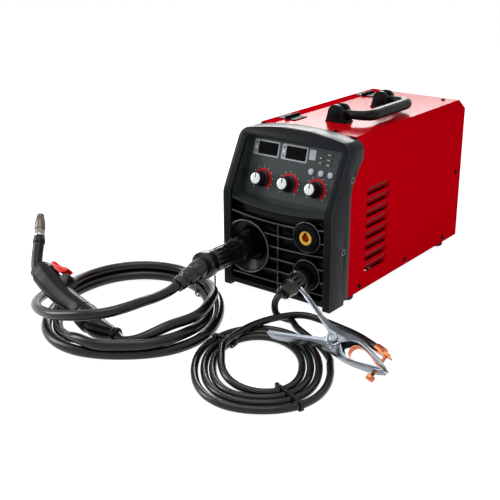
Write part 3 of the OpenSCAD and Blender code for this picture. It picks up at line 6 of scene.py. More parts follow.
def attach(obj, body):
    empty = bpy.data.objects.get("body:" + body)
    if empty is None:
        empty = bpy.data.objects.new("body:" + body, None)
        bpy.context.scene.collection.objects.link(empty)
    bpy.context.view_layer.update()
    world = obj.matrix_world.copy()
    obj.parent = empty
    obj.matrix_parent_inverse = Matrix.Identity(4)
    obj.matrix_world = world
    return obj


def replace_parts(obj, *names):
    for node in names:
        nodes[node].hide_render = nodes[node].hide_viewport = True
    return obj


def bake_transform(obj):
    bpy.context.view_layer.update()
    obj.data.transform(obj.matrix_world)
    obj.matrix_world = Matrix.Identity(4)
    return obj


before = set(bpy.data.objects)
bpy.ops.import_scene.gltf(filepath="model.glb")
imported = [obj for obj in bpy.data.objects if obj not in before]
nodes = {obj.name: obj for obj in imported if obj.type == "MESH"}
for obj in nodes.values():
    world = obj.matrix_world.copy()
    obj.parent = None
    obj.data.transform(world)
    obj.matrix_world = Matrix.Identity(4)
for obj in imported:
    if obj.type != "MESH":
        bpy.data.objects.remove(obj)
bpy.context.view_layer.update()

# Studio --------------------------------------------------------------------
# A product table: the camera stands in front of the machine's right corner,
# slightly above it, with large soft boxes over it and on both sides.
azimuth, elevation, roll = np.radians([38.04, 20.70, -0.27])
back = np.array([np.sin(azimuth) * np.cos(elevation), -np.cos(azimuth) * np.cos(elevation),
                 np.sin(elevation)])
right = np.array([np.cos(azimuth), np.sin(azimuth), 0.0])
up = np.cross(back, right)
eye = np.eye(4)
eye[:3, 0] = right * np.cos(roll) + up * np.sin(roll)
eye[:3, 1] = up * np.cos(roll) - right * np.sin(roll)
eye[:3, 2] = back
eye[:3, 3] = 0.8365, -1.3593, 0.6219
camera = bpy.data.objects.new("camera", bpy.data.cameras.new("camera"))
camera.data.lens = 66.6
camera.data.clip_end = 20
camera.matrix_world = Matrix(eye.tolist())
bpy.context.scene.collection.objects.link(camera)
bpy.context.scene.camera = camera
bpy.context.scene.view_settings.view_transform = "Standard"


def linear(colour):
    """sRGB hex to linear RGBA: the sRGB curve undone channel by channel."""
    c = np.array([int(colour[i:i + 2], 16) for i in (0, 2, 4)]) / 255
    c = np.where(c <= 0.04045, c / 12.92, ((c + 0.055) / 1.055) ** 2.4)
    return *c.tolist(), 1.0


def add(tree, kind, inputs=None, **settings):
    """Adds one node: settings are its own fields, inputs its sockets' values or links."""
    node = tree.nodes.new(kind)
    for field, value in settings.items():
        setattr(node, field, value)
    for socket, value in (inputs or {}).items():
        if isinstance(value, bpy.types.NodeSocket):
            tree.links.new(value, node.inputs[socket])
        else:
            node.inputs[socket].default_value = value
    return node


def shows_white(tree):
    """1 for the rays that show the background as white: straight from the camera, through
    glass and mirrored; 0 for the rays that light the machine."""
    ray = add(tree, "ShaderNodeLightPath")
    seen = add(tree, "ShaderNodeMath", {0: ray.outputs["Is Camera Ray"],
                                        1: ray.outputs["Is Glossy Ray"]}, operation="MAXIMUM")
    seen = add(tree, "ShaderNodeMath", {0: seen.outputs[0],
                                        1: ray.outputs["Is Transmission Ray"]}, operation="MAXIMUM")
    return seen.outputs[0]


def soft_box(name, place, aim, width, height, watts, mirrored=True):
    """A rectangular lamp at place, turned to face the point aim; glossy surfaces show it
    only where it is mirrored."""
    lamp = bpy.data.objects.new(name, bpy.data.lights.new(name, "AREA"))
    lamp.data.shape = "RECTANGLE"
    lamp.data.size, lamp.data.size_y = width, height
    lamp.data.energy = watts
    lamp.visible_glossy = mirrored
    away = np.array(place, float) - aim
    away /= np.linalg.norm(away)
    side = np.cross((0, 0, 1) if abs(away[2]) < 0.95 else (0, 1, 0), away)
    side /= np.linalg.norm(side)
    pose = np.eye(4)
    pose[:3, :3] = np.array([side, np.cross(away, side), away]).T
    pose[:3, 3] = place
    lamp.matrix_world = Matrix(pose.tolist())
    bpy.context.scene.collection.objects.link(lamp)


soft_box("top_box", (-0.1, -0.5, 1.5), (0.0, -0.2, 0), 1.3, 0.9, 9)
soft_box("back_box", (-1.44, 1.9, 1.16), (0.0, 0.0, 0.27), 1.5, 0.6, 36)
soft_box("left_box", (-1.7, -1.1, 0.9), (-0.05, -0.3, 0.1), 0.7, 1.2, 20)
soft_box("right_box", (1.7, -0.5, 0.24), (0.1, 0.0, 0.12), 1.1, 0.4, 10, mirrored=False)
soft_box("front_box", (0.2, -2.1, 0.7), (0.0, -0.3, 0.1), 1.4, 0.7, 4, mirrored=False)

world = bpy.data.worlds.new("studio")
bpy.context.scene.world = world
world.use_nodes = True
tree = world.node_tree
tree.nodes.clear()
room = add(tree, "ShaderNodeBackground", {"Color": linear("d8dade"), "Strength": 0.20})
white = add(tree, "ShaderNodeBackground", {"Color": (1, 1, 1, 1), "Strength": 1.0})
both = add(tree, "ShaderNodeMixShader", {0: shows_white(tree), 1: room.outputs[0], 2: white.outputs[0]})
add(tree, "ShaderNodeOutputWorld", {"Surface": both.outputs[0]})

# The table is white board: its own light makes it clear white to the camera
# while the soft shadow under the machine stays.
floor = bpy.data.objects.new("floor", bpy.data.meshes.new("floor"))
floor.data.from_pydata([(-8, -8, -0.0005), (8, -8, -0.0005), (8, 8, -0.0005), (-8, 8, -0.0005)],
                       [], [(0, 1, 2, 3)])
bpy.context.scene.collection.objects.link(floor)
board = bpy.data.materials.new("white_board")
board.use_nodes = True
tree = board.node_tree
tree.nodes.clear()
paper = add(tree, "ShaderNodeBsdfDiffuse", {"Color": linear("bcbcbc")})
glow = add(tree, "ShaderNodeEmission", {"Color": (1, 1, 1, 1), "Strength": 0.93})
lit = add(tree, "ShaderNodeAddShader", {0: paper.outputs[0], 1: glow.outputs[0]})
dim = add(tree, "ShaderNodeBsdfDiffuse", {"Color": linear("f2f2f2")})
both = add(tree, "ShaderNodeMixShader", {0: shows_white(tree), 1: dim.outputs[0], 2: lit.outputs[0]})
add(tree, "ShaderNodeOutputMaterial", {"Surface": both.outputs[0]})
floor.data.materials.append(board)


def finish(name, colour, roughness, metallic=0.0, grain=0.0008, depth=0.00002, mottle=0.06,
           second=None, specular=0.25):
    """One surface finish. Object coordinates in metres drive two noises: one of size
    grain (a real size) for the bump of the given depth and the roughness, and one of
    30 mm for the slight unevenness of colour that hands and moulding leave, from a little
    darker than the colour to a little lighter, or to the second colour if there is one."""
    material = bpy.data.materials.new(name)
    material.use_nodes = True
    tree = material.node_tree
    tree.nodes.clear()
    place = add(tree, "ShaderNodeTexCoord")
    fine = add(tree, "ShaderNodeTexNoise", {"Vector": place.outputs["Object"], "Scale": 1 / grain,
                                            "Detail": 3.0, "Roughness": 0.6})
    cloud = add(tree, "ShaderNodeTexNoise", {"Vector": place.outputs["Object"],
                                             "Scale": 1 / 0.030, "Detail": 4.0})
    first = linear(colour)
    low = tuple(c * (1 - 2 * mottle) for c in first[:3])
    high = second and linear(second)[:3] or tuple(min(1, c * (1 + mottle)) for c in first[:3])
    tint = add(tree, "ShaderNodeMix", {"Factor": cloud.outputs["Fac"], 6: (*low, 1), 7: (*high, 1)},
               data_type="RGBA")
    gloss = add(tree, "ShaderNodeMapRange", {"Value": fine.outputs["Fac"],
                                             "To Min": roughness * 0.82, "To Max": roughness * 1.18})
    bump = add(tree, "ShaderNodeBump", {"Height": fine.outputs["Fac"], "Distance": depth,
                                        "Strength": 1.0})
    shader = add(tree, "ShaderNodeBsdfPrincipled", {
        "Base Color": tint.outputs[2], "Roughness": gloss.outputs[0], "Metallic": metallic,
        "Normal": bump.outputs[0], "Specular IOR Level": specular})
    add(tree, "ShaderNodeOutputMaterial", {"Surface": shader.outputs[0]})
    return material


def soften(piece, edge, segments=2, slot=-1):
    """Breaks the edges over 30 degrees by edge (mm), as a mould or a press leaves them. The
    new faces take the material slot given, or their neighbours' where it is -1."""
    weld = piece.modifiers.new("weld", "WELD")
    weld.merge_threshold = 0.00002
    flat = piece.modifiers.new("faces", "DECIMATE")
    flat.decimate_type = "DISSOLVE"
    flat.angle_limit = np.radians(0.3)
    bevel = piece.modifiers.new("edge", "BEVEL")
    bevel.width = edge / 1000
    bevel.segments = segments
    bevel.limit_method = "ANGLE"
    bevel.angle_limit = np.radians(30)
    bevel.material = slot
    shade = piece.modifiers.new("shade", "NODES")
    shade.node_group = smooth_faces


def dress(material, *names, edge=0.0, segments=2, edge_paint=None):
    """Gives the named CAD nodes this material, and broken edges where edge (mm) is given,
    in the material rubbed if there is one."""
    for name in names:
        mesh = nodes[name].data
        mesh.materials.clear()
        mesh.materials.append(material)
        if edge_paint:
            mesh.materials.append(edge_paint)
        if edge:
            soften(nodes[name], edge, segments, 1 if edge_paint else -1)


# Shading of the moulded parts: faces that meet under 35 degrees are one soft face.
smooth_faces = bpy.data.node_groups.new("soft_faces", "GeometryNodeTree")
smooth_faces.interface.new_socket("Geometry", in_out="INPUT", socket_type="NodeSocketGeometry")
smooth_faces.interface.new_socket("Geometry", in_out="OUTPUT", socket_type="NodeSocketGeometry")
source = add(smooth_faces, "NodeGroupInput")
angle = add(smooth_faces, "GeometryNodeInputMeshEdgeAngle")
sharp = add(smooth_faces, "FunctionNodeCompare", {0: angle.outputs[0], 1: np.radians(35)},
            data_type="FLOAT", operation="GREATER_THAN")
soft = add(smooth_faces, "GeometryNodeSetShadeSmooth", {"Geometry": source.outputs[0],
                                                        "Shade Smooth": True}, domain="FACE")
hard = add(smooth_faces, "GeometryNodeSetShadeSmooth", {"Geometry": soft.outputs[0],
                                                        "Selection": sharp.outputs[0],
                                                        "Shade Smooth": False}, domain="EDGE")
add(smooth_faces, "NodeGroupOutput", {0: hard.outputs[0]})


def shape(name, points, faces, material, body, smooth=True):
    """A mesh piece in place, riding on its body, or on none yet where body is None."""
    mesh = bpy.data.meshes.new(name)
    mesh.from_pydata(points.tolist(), [], [tuple(f) for f in faces])
    mesh.polygons.foreach_set("use_smooth", [smooth] * len(mesh.polygons))
    mesh.materials.append(material)
    piece = bpy.data.objects.new(name, mesh)
    bpy.context.scene.collection.objects.link(piece)
    if body:
        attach(piece, body)
    return piece


def skin(grid):
    """Points and faces of a closed form on a grid (along, around): quads that go round in
    its second direction, and one face on each of its first and last rows."""
    n, m = grid.shape[:2]
    i, j = np.meshgrid(np.arange(n - 1), np.arange(m), indexing="ij")
    k = (j + 1) % m
    quads = np.stack([i * m + j, i * m + k, (i + 1) * m + k, (i + 1) * m + j], -1).reshape(-1, 4)
    ends = [np.arange(m)[::-1].tolist(), ((n - 1) * m + np.arange(m)).tolist()]
    return grid.reshape(-1, 3), [*quads.tolist(), *ends]


def prism(n):
    """Faces of a prism whose points are a lower outline of n points and then its upper one."""
    i = np.arange(n)
    sides = np.stack([i, (i + 1) % n, (i + 1) % n + n, i + n], -1)
    return [i[::-1].tolist(), (i + n).tolist(), *sides.tolist()]


def tube(path, radius, sides=32, normal=(0, 0, 1)):
    """Round tube in metres along the path (mm): the ring at each point p is
    p + r cos a n + r sin a b, with n square to the path and to the given normal."""
    way = np.gradient(path, axis=0)
    way /= np.linalg.norm(way, axis=1)[:, None]
    across = np.cross(way, normal)
    across /= np.linalg.norm(across, axis=1)[:, None]
    a = np.linspace(0, 2 * np.pi, sides, endpoint=False)
    r = (radius * np.ones(len(path)))[:, None]
    return skin((path[:, None] + (r * np.cos(a))[..., None] * across[:, None]
                 + (r * np.sin(a))[..., None] * np.cross(across, way)[:, None]) / 1000)


def joined(*forms):
    """Several closed forms (points, faces) as one."""
    points, faces, start = [], [], 0
    for p, f in forms:
        points.append(p)
        faces += [[k + start for k in face] for face in f]
        start += len(p)
    return np.vstack(points), faces


# Torch cable ---------------------------------------------------------------
# One 16 mm co-axial cable in a black PVC jacket, soft and glossy, that carries
# gas, wire and current. It leaves the plug's boot, lies in two and a quarter
# turns on the table and ends in the boot of the torch.
def ease(x):
    """0 below 0, 1 above 1, and the smooth step c*c*(3-2c) between."""
    c = np.clip(x, 0, 1)
    return c * c * (3 - 2 * c)


def oval(centre, width, depth, angle, egg, height):
    """Egg-shaped loop, turned by 38 degrees as both coils lie: x = k w cos a, y = k d sin a,
    where k grows by egg * sin(2a)^2 on the near half."""
    k = 1 + np.where(np.sin(angle) < 0, egg * np.sin(2 * angle) ** 2, 0)
    x, y = k * width * np.cos(angle), k * depth * np.sin(angle)
    c, s = np.cos(np.radians(38)), np.sin(np.radians(38))
    return np.stack([centre[0] + x * c - y * s, centre[1] + x * s + y * c,
                     height + 0 * angle], 1)


def torch_coil(t):
    """Point of the torch coil after t turns, in mm: the strand slips inside its first turn,
    climbs on it at the near end and ends nested over both."""
    pitch = 17
    climb = np.radians(104 * (ease((t - 1.4) / 0.2) - ease((t - 1.66) / 0.12)))
    wrap = np.radians(180 - 120 * ease((t - 1.8) / 0.2))
    u = np.where(t < 1.8, -pitch * ease((t - 0.8) / 0.2) * np.cos(climb),
                 -pitch * ease((t - 1.8) / 0.2) + pitch * np.cos(wrap))
    z = 9.5 + pitch * np.where(t < 1.8, np.sin(climb), np.sin(wrap))
    return oval((-145.5, -405), 136 + u, 160 + u, np.radians(135 - 360 * t), 0.06, z)


def through(points, step=4.0):
    """Centripetal Catmull-Rom curve through the points (mm), sampled every step mm. Each
    span is Barry and Goldman's nested blend of its four points."""
    p = np.asarray(points, float)
    p = np.vstack([2 * p[0] - p[1], p, 2 * p[-1] - p[-2]])
    k = np.concatenate([[0], np.cumsum(np.sqrt(np.linalg.norm(np.diff(p, axis=0), axis=1)))])
    span = np.linalg.norm(np.diff(p[1:-1], axis=0), axis=1)
    count = np.maximum(2, np.ceil(span / step).astype(int))
    i = np.repeat(np.arange(len(span)), count) + 1
    f = np.concatenate([np.arange(n) / n for n in count])
    t = k[i] + f * (k[i + 1] - k[i])

    def between(a, b, pa, pb):
        return ((k[b] - t) / (k[b] - k[a]))[:, None] * pa + ((t - k[a]) / (k[b] - k[a]))[:, None] * pb
    a1, a2, a3 = (between(i + j, i + j + 1, p[i + j], p[i + j + 1]) for j in (-1, 0, 1))
    b1, b2 = between(i - 1, i + 1, a1, a2), between(i, i + 2, a2, a3)
    return np.vstack([between(i, i + 1, b1, b2), p[-2]])


def cable(name, path, diameter, material, *replaced):
    """A round cable of the diameter (mm) along the path (mm), in place of the replaced nodes:
    one open spline with a round bevel."""
    curve = bpy.data.curves.new(name, "CURVE")
    curve.dimensions = "3D"
    curve.bevel_depth = diameter / 1000 / 2
    curve.bevel_resolution = 7
    curve.use_fill_caps = True
    line = curve.splines.new("POLY")
    line.points.add(len(path) - 1)
    line.points.foreach_set("co", np.hstack([path / 1000, np.ones((len(path), 1))]).ravel())
    line.use_smooth = True
    piece = bpy.data.objects.new(name, curve)
    bpy.context.scene.collection.objects.link(piece)
    curve.materials.append(material)
    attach(piece, "case")
    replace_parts(piece, *replaced)
    return piece


def turned(vector, angles):
    """The vector turned about X, then Y, then Z by the angles in degrees."""
    a, b, c = np.radians(angles)
    about_x = np.array([[1, 0, 0], [0, np.cos(a), -np.sin(a)], [0, np.sin(a), np.cos(a)]])
    about_y = np.array([[np.cos(b), 0, np.sin(b)], [0, 1, 0], [-np.sin(b), 0, np.cos(b)]])
    about_z = np.array([[np.cos(c), -np.sin(c), 0], [np.sin(c), np.cos(c), 0], [0, 0, 1]])
    return about_z @ about_y @ about_x @ np.asarray(vector, float)


def placed(points, foot, angles):
    """Points of a tool's own frame (mm) in the machine's frame, in metres."""
    axes = np.stack([turned(e, angles) for e in np.eye(3)], 1)
    return (foot + np.asarray(points, float) @ axes.T) / 1000


def swept(stations, place, step=2.0, power=1.0):
    """Body swept in a plane, put in the machine by place(): every station (x, y, r, h) is a
    centre with its half width r in the plane and half height h across it. The section at
    angle a is centre + r c n + h s z, where n is square to the way in the plane,
    c = cos(a)|cos(a)|^(power-1), and s is the same of sin(a)."""
    x, y, r, h = through(stations, step).T
    way = np.gradient(np.stack([x, y], 1), axis=0)
    way /= np.linalg.norm(way, axis=1)[:, None]
    a = np.linspace(0, 2 * np.pi, 64, endpoint=False)
    c = np.sign(np.cos(a)) * np.abs(np.cos(a)) ** power
    d = np.sign(np.sin(a)) * np.abs(np.sin(a)) ** power
    grid = np.stack([x[:, None] - way[:, 1, None] * r[:, None] * c,
                     y[:, None] + way[:, 0, None] * r[:, None] * c, h[:, None] * d], -1)
    return skin(place(grid.reshape(-1, 3)).reshape(grid.shape))


# Plasticised PVC: near black, a soft wide highlight and a faint drag texture.
pvc_jacket = finish("pvc_cable_jacket", "08090a", 0.24, grain=0.0016, depth=0.000003, mottle=0.12,
                    specular=0.34)
torch_d = 16
straight = 16  # straight cable at both ends, and where the free stretches meet the coil
torch_turn = (135, -13, 168.5)
torch_foot = np.array([-138, -502, 41.0])
torch_axis = turned((1, 0, 0), torch_turn)
plug_droop = np.radians(12)
plug_axis = np.array([0, -np.cos(plug_droop), -np.sin(plug_droop)])
plug_boot_l, torch_boot_l = 63, 67
plug_end = np.array([-60, -334, 82]) + plug_boot_l * plug_axis
torch_end = torch_foot - torch_boot_l * torch_axis
turns = torch_coil(np.arange(0, 2.2501, 1 / 24))
start_way, end_way = turns[1] - turns[0], turns[-1] - turns[-2]
torch_path = through(np.vstack([
    plug_end, plug_end + straight * plug_axis,
    [-62, -440, 64], [-66, -468, 64.5], [-72, -494, 63.5], [-81, -515, 62], [-95, -532, 60],
    [-115, -543, 56.5], [-143, -549, 51], [-175, -549, 44], [-215, -538, 36], [-250, -518, 28],
    [-277, -491, 21], [-296, -458, 15.5], [-303, -424, 11.5],
    turns[0] - straight * start_way / np.linalg.norm(start_way), turns,
    turns[-1] + straight * end_way / np.linalg.norm(end_way),
    [-110, -276, 25], [-88, -288, 27], [-67, -304, 30], [-49, -323, 32.5], [-35, -345, 35.5],
    [-22, -368, 37.5], [-11, -392, 39], [-6, -417, 39.5], [-8.5, -437, 39.5], [-14, -455, 39],
    [-19, -473, 37], [-25.5, -488, 33], [-33.5, -501, 28.5], [-44, -511, 24.5],
    torch_end - straight * torch_axis, torch_end]))
torch_cable = cable("torch_cable", torch_path, torch_d, pvc_jacket,
                    "torch_cable_lead", "torch_cable_coil", "torch_cable_tail")

# Earth cable ---------------------------------------------------------------
# An 11 mm welding cable in the same black jacket, limp enough to lie flat in
# three and a half turns, from its plug in the lower socket to the clamp's lug.


def earth_coil(t):
    """Point of the flat earth coil after t turns, in mm: each turn lies 12 mm inside the
    last, and the end climbs over the last strand."""
    u = 12 * t + 4 * ease(t / 0.9)
    return oval((126, -430.5), 100 - u, 131 - u - 2 * t, np.radians(-360 * t), 0.05,
                7 + 12 * ease((t - 3.2) / 0.3))


earth_d = straight = 11
earth_droop, earth_boot_l = np.radians(10), 57
earth_axis = np.array([0, -np.cos(earth_droop), -np.sin(earth_droop)])
earth_start = np.array([59, -229, 58]) + earth_boot_l * earth_axis
clamp_turn, clamp_foot = (40, 8, -8), np.array([203, -353, 35.0])
lug_axis = turned(turned((1, 0, 0), (0, -16, -8)), clamp_turn)
lug_end = clamp_foot + turned((55, 24, -8), clamp_turn)
turns = earth_coil(np.arange(0, 3.5001, 1 / 24))
start_way, end_way = turns[1] - turns[0], turns[-1] - turns[-2]
earth_path = through(np.vstack([
    earth_start, earth_start + straight * earth_axis,
    [59, -302.5, 41], [59, -304, 31.5], [59, -301, 21.5], [60.5, -294.5, 13.5], [64.5, -288, 9],
    [71, -284.5, 7.2], [79, -285.5, 7], [87, -291, 7], [98, -299.5, 7], [112, -307, 7],
    [133, -317, 7], [153, -327, 7], [175, -340, 7],
    turns[0] - straight * start_way / np.linalg.norm(start_way), turns,
    turns[-1] + straight * end_way / np.linalg.norm(end_way),
    [60, -430, 19.5], [56, -397, 20], [55, -360, 19.5], [61, -328, 19], [72, -303.5, 19],
    [85, -286, 19], [101, -275, 18], [131, -272, 16], [160, -279, 18], [190, -292, 23],
    [216, -308, 29], [237, -323, 34], lug_end - straight * lug_axis, lug_end]), 3.0)
# Its last stretch is bolted to the moving jaw: a mesh tube
# of the same size.
bending_l = 100
run = np.concatenate([[0], np.cumsum(np.linalg.norm(np.diff(earth_path, axis=0), axis=1))])
cut = int(np.searchsorted(run, run[-1] - bending_l))
last = earth_path[cut:]
earth_end = shape("earth_cable_end", *tube(last, earth_d / 2), pvc_jacket, None)
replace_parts(earth_end, "earth_cable_tail")
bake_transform(earth_end)
earth_cable = cable("earth_cable", earth_path[:cut + 1], earth_d, pvc_jacket,
                    "earth_cable_lead", "earth_cable_coil", "earth_cable_tail")

# Cable ties ----------------------------------------------------------------
# Black nylon strapping pulled round the coils, which it holds together:
# semi-gloss, waxy.
dress(finish("nylon_strap", "121314", 0.38, grain=0.0012), "cable_ties")

# Steel covers --------------------------------------------------------------
# Folded 1.2 mm sheet in glossy red powder paint; the right cover has pressed
# louvres and the left one is the door of the wire bay. Powder flows into a
# slight orange peel of about 1.5 mm.
red_paint = finish("red_powder_paint", "cc0012", 0.22, grain=0.0015, depth=0.000008,
                   mottle=0.04, specular=0.0)
dress(red_paint, "right_cover", "side_door")
# The roof is polished: its faces, with a normal within 26 degrees of upright,
# take the second slot.
waxed_paint = finish("red_waxed_paint", "cc0012", 0.2, grain=0.0015, depth=0.000008,
                     mottle=0.04, specular=0.035)
# The louvres' faces take a darker red, painted shade: the third.
louvre_painted_shade = finish("red_louvre_painted_shade", "8e000c", 0.24, grain=0.0015, depth=0.000008,
                     mottle=0.05, specular=0.01)
cover = nodes["right_cover"].data
cover.materials.append(waxed_paint)
cover.materials.append(louvre_painted_shade)
normals, centres = np.empty((2, len(cover.polygons), 3))
for field, values in (("normal", normals), ("center", centres)):
    flat = np.empty(values.size)
    cover.polygons.foreach_get(field, flat)
    values[:] = flat.reshape(values.shape)
# They are the faces in this field of the right side that don't lie flat in it.
field_low, field_high = (0.1, -0.19, 0.04), (0.2, -0.05, 0.22)
louvres = (np.all((centres > field_low) & (centres < field_high), 1)
           & (np.abs(normals[:, 0]) < 0.995))
cover.polygons.foreach_set("material_index", np.where(louvres, 2, normals[:, 2] > 0.9).astype(int))
# Hinges, catch and screws are steel with black e-coat: satin, thin, even.
e_coat = finish("black_e_coat", "0c0c0d", 0.34, grain=0.0009, specular=0.02)
dress(e_coat, "hinge_leaves", "door_hinges", "door_catch", "case_screws")

# Floor tray and feet -------------------------------------------------------
# The tray is the same sheet in flat black paint; the feet are moulded rubber.
dress(finish("black_chassis_paint", "26282b", 0.5, grain=0.0012), "base_tray")
dress(finish("moulded_rubber", "161617", 0.72, grain=0.0006, mottle=0.1), "feet")

# Front frame and rear panel ------------------------------------------------
# Injection-moulded ABS from a spark-eroded tool: charcoal black with a fine
# even grain of about 0.6 mm that softens the light along the rounded edges.
frame_abs = finish("moulded_abs_charcoal", "1b1e21", 0.30, grain=0.0006, depth=0.00002,
                   specular=0.06)
# The rounded edges are glossier than the faces, and their lighter grey is a painted highlight.
frame_edge_highlight = finish("abs_edge_painted_highlight", "34393d", 0.18, grain=0.0006, depth=0.000004, specular=0.45)
dress(frame_abs, "front_frame", edge=3.0, segments=3, edge_paint=frame_edge_highlight)
dress(frame_abs, "rear_panel")
grille_abs = finish("moulded_abs_black", "070809", 0.24, grain=0.0006, depth=0.00002,
                    specular=0.08)
dress(grille_abs, "front_grille", "torch_socket", "power_socket_flanges", edge=1.0)
dress(grille_abs, "fan_frame", "fan_rotor", "mains_gland")

# The noses of the slats and the rims round the sockets are rounded, polished beads, and their lighter grey
# is a painted highlight.
# A slat's line is z = 153 - 20.4 i + s (x / 93.5)^2; it stops at the socket seats.
bead_highlight = finish("abs_bead_painted_highlight", "303437", 0.14, grain=0.0006, depth=0.000004, specular=0.6)
seats = ((-60, 82, 47), (59, 122, 26.5), (59, 58, 26.5))
noses = []
for i in range(1, 7):
    x = np.arange(-92.5, 92.6, 1.0)
    z = 153 - 20.4 * i + 9 * max(0, 1 - i / 5) * (x / 93.5) ** 2
    free = np.all([np.hypot(x - cx, z - cz) > r for cx, cz, r in seats], 0)
    ends = np.flatnonzero(np.diff(np.concatenate([[0], free, [0]])))
    for first, stop in zip(ends[::2], ends[1::2]):
        if stop - first > 3:
            line = np.stack([x, -219.9 + 0 * x, z], 1)[first:stop]
            noses.append(tube(line, 1.5, 12, (0, 1, 0)))
# A rim's degrees, its centre (x, z), its radius, its place y and its thickness.
rims = [(np.arange(-132, 133, 4), -60, 82, 45.0, -222.4, 1.6),
        (np.arange(0, 361, 5), 59, 122, 25.0, -219.6, 1.3),
        (np.arange(0, 361, 5), 59, 58, 25.0, -219.6, 1.3)]
for degrees, cx, cz, r, y, thick in rims:
    t = np.radians(degrees)
    circle = np.stack([cx + r * np.cos(t), y + 0 * t, cz + r * np.sin(t)], 1)
    noses.append(tube(circle, thick, 12, (0, 1, 0)))
# The upright rib between the slats.
z = np.arange(24, 131, 2.0)
noses.append(tube(np.stack([2 + 0 * z, -219.0 + 0 * z, z], 1), 1.1, 12, (0, 1, 0)))
shape("grille_beads", *joined(*noses), bead_highlight, "case")

# Screws hold the frame to the covers, each sunk in a raised rosette on the
# post: its profile (r, h) goes round as y + r cos a, z + r sin a, at post_x + h.
post_x = 108
r, h = np.array([(2.4, -0.6), (2.4, 0.7), (2.9, 1.2), (4.9, 1.2), (5.8, 0.8), (6.3, -0.2),
                 (6.3, -0.6)]).T
a = np.linspace(0, 2 * np.pi, 33)[:, None]
# The rosettes wear the frame edges' lighter grey, a painted highlight.
for side, name in ((1, "right"), (-1, "left")):
    rosettes = [skin(np.stack([side * (post_x + h) + 0 * a, y + side * r * np.cos(a),
                               z + r * np.sin(a)], -1) / 1000) for y, z in ((-189, 99), (-168, 213))]
    shape(f"screw_rosettes_{name}", *joined(*rosettes), frame_edge_highlight, "case")

# Brass ---------------------------------------------------------------------
# Turned brass inserts in the power sockets and the barb of the gas inlet: warm
# yellow, a little uneven.
turned_brass = finish("turned_brass", "f4bf52", 0.26, metallic=1.0, grain=0.0008, mottle=0.08)
dress(turned_brass, "power_socket_inserts", "gas_valve")

# Control panel -------------------------------------------------------------
# Sloping ABS fascia with a printed film on it and two smoked acrylic windows;
# behind it stands the control board.
dress(finish("fascia_abs", "2c3132", 0.42, grain=0.0006, depth=0.00003, specular=0.2), "control_panel")
dress(finish("smoked_acrylic", "040405", 0.08, grain=0.004, depth=0.0, mottle=0.02, specular=0.06),
      "display_lenses")
dress(finish("circuit_board", "1c5c34", 0.45, grain=0.002), "control_board")


def on_panel(x, s, h):
    """Point on the fascia in metres, from mm: x across, s up its 16 degree slope, h out of it."""
    t = np.radians(16)
    return np.stack(np.broadcast_arrays(x, -191 + s * np.sin(t) - h * np.cos(t),
                                        158 + s * np.cos(t) + h * np.sin(t)), -1) / 1000


def printed(name, outline, top, material, base=0.02, body="case"):
    """A flat piece on the fascia: the outline (x, s) stands from base to top (mm)."""
    x, s = np.asarray(outline, float).T
    points = np.vstack([on_panel(x, s, base), on_panel(x, s, top)])
    return shape(name, points, prism(len(x)), material, body, smooth=False)


def round_box(x0, s0, x1, s1, r):
    """Outline of a rectangle with round corners, counter-clockwise."""
    a = np.radians(np.arange(0, 91, 15))
    corner = [(x1 - r, s0 + r, -90), (x1 - r, s1 - r, 0), (x0 + r, s1 - r, 90), (x0 + r, s0 + r, 180)]
    return np.vstack([np.stack([cx + r * np.cos(a + np.radians(d)), cy + r * np.sin(a + np.radians(d))], 1)
                      for cx, cy, d in corner])


# The film: screen-printed polycarbonate, fine matt face, dark grey-green; its
# fields are silver, red and white ink.
film = finish("printed_film", "3b4142", 0.38, grain=0.0007, mottle=0.04)
silver_ink = finish("silver_ink", "a9b0b3", 0.35, metallic=0.3, grain=0.0007, mottle=0.05)
red_ink = finish("red_ink", "c8101c", 0.4, grain=0.0007)
white_ink = finish("white_ink", "e6e8e8", 0.45, grain=0.0007)
dark_ink = finish("dark_ink", "23282a", 0.4, grain=0.0007)
printed("panel_film", round_box(-88, 5.5, 88, 99, 4), 0.10, film)
for i, x in enumerate((-56, 0)):
    printed(f"display_field_{i}", round_box(x - 28.5, 71.3, x + 22.2, 96.7, 2.5), 0.15, silver_ink)
    printed(f"display_shade_{i}", round_box(x - 20.2, 73.3, x + 20.2, 94.7, 1), 0.19, dark_ink)
    for j in range(3):
        printed(f"unit_mark_{i}{j}", round_box(x - 26, 75.4 + 7 * j, x - 22.6, 78.8 + 7 * j, 1.5), 0.19,
                (dark_ink, white_ink)[j % 2])
printed("mode_field", round_box(25.5, 78.5, 38, 95, 1.5), 0.15, silver_ink)
for i, (x0, x1, s) in enumerate(((46, 50, 76), (46, 50, 84), (60, 66, 75), (60, 66, 83), (60, 66, 91))):
    printed(f"lamp_mark_{i}", round_box(x0, s - 0.9, x1, s + 0.9, 0.4), 0.15, silver_ink)

# Knobs ---------------------------------------------------------------------
# ABS mouldings pressed on the potentiometer shafts: a skirt, a grip with
# twenty flutes and an inlaid spun aluminium cap with a dark pointer line.
knob_black = finish("knob_abs", "0f1011", 0.30, grain=0.0006)
spun_cap = finish("spun_aluminium_cap", "e4e6e8", 0.3, metallic=0.35, grain=0.0007, mottle=0.03)


def lathe(profile, x, s, flutes=0.0):
    """Turned form on the fascia about (x, s): every profile point (r, h) goes round as
    x + r cos a, s + r sin a; between h 5 and 19 the radius loses flutes * cos(10a)^4."""
    r, h = np.asarray(profile, float).T
    a = np.linspace(0, 2 * np.pi, 120, endpoint=False)
    deep = flutes * ((h > 5) & (h < 19))[:, None] * np.cos(10 * a) ** 4
    radius = r[:, None] - deep
    return skin(on_panel(x + radius * np.cos(a), s + radius * np.sin(a), h[:, None] + 0 * a))


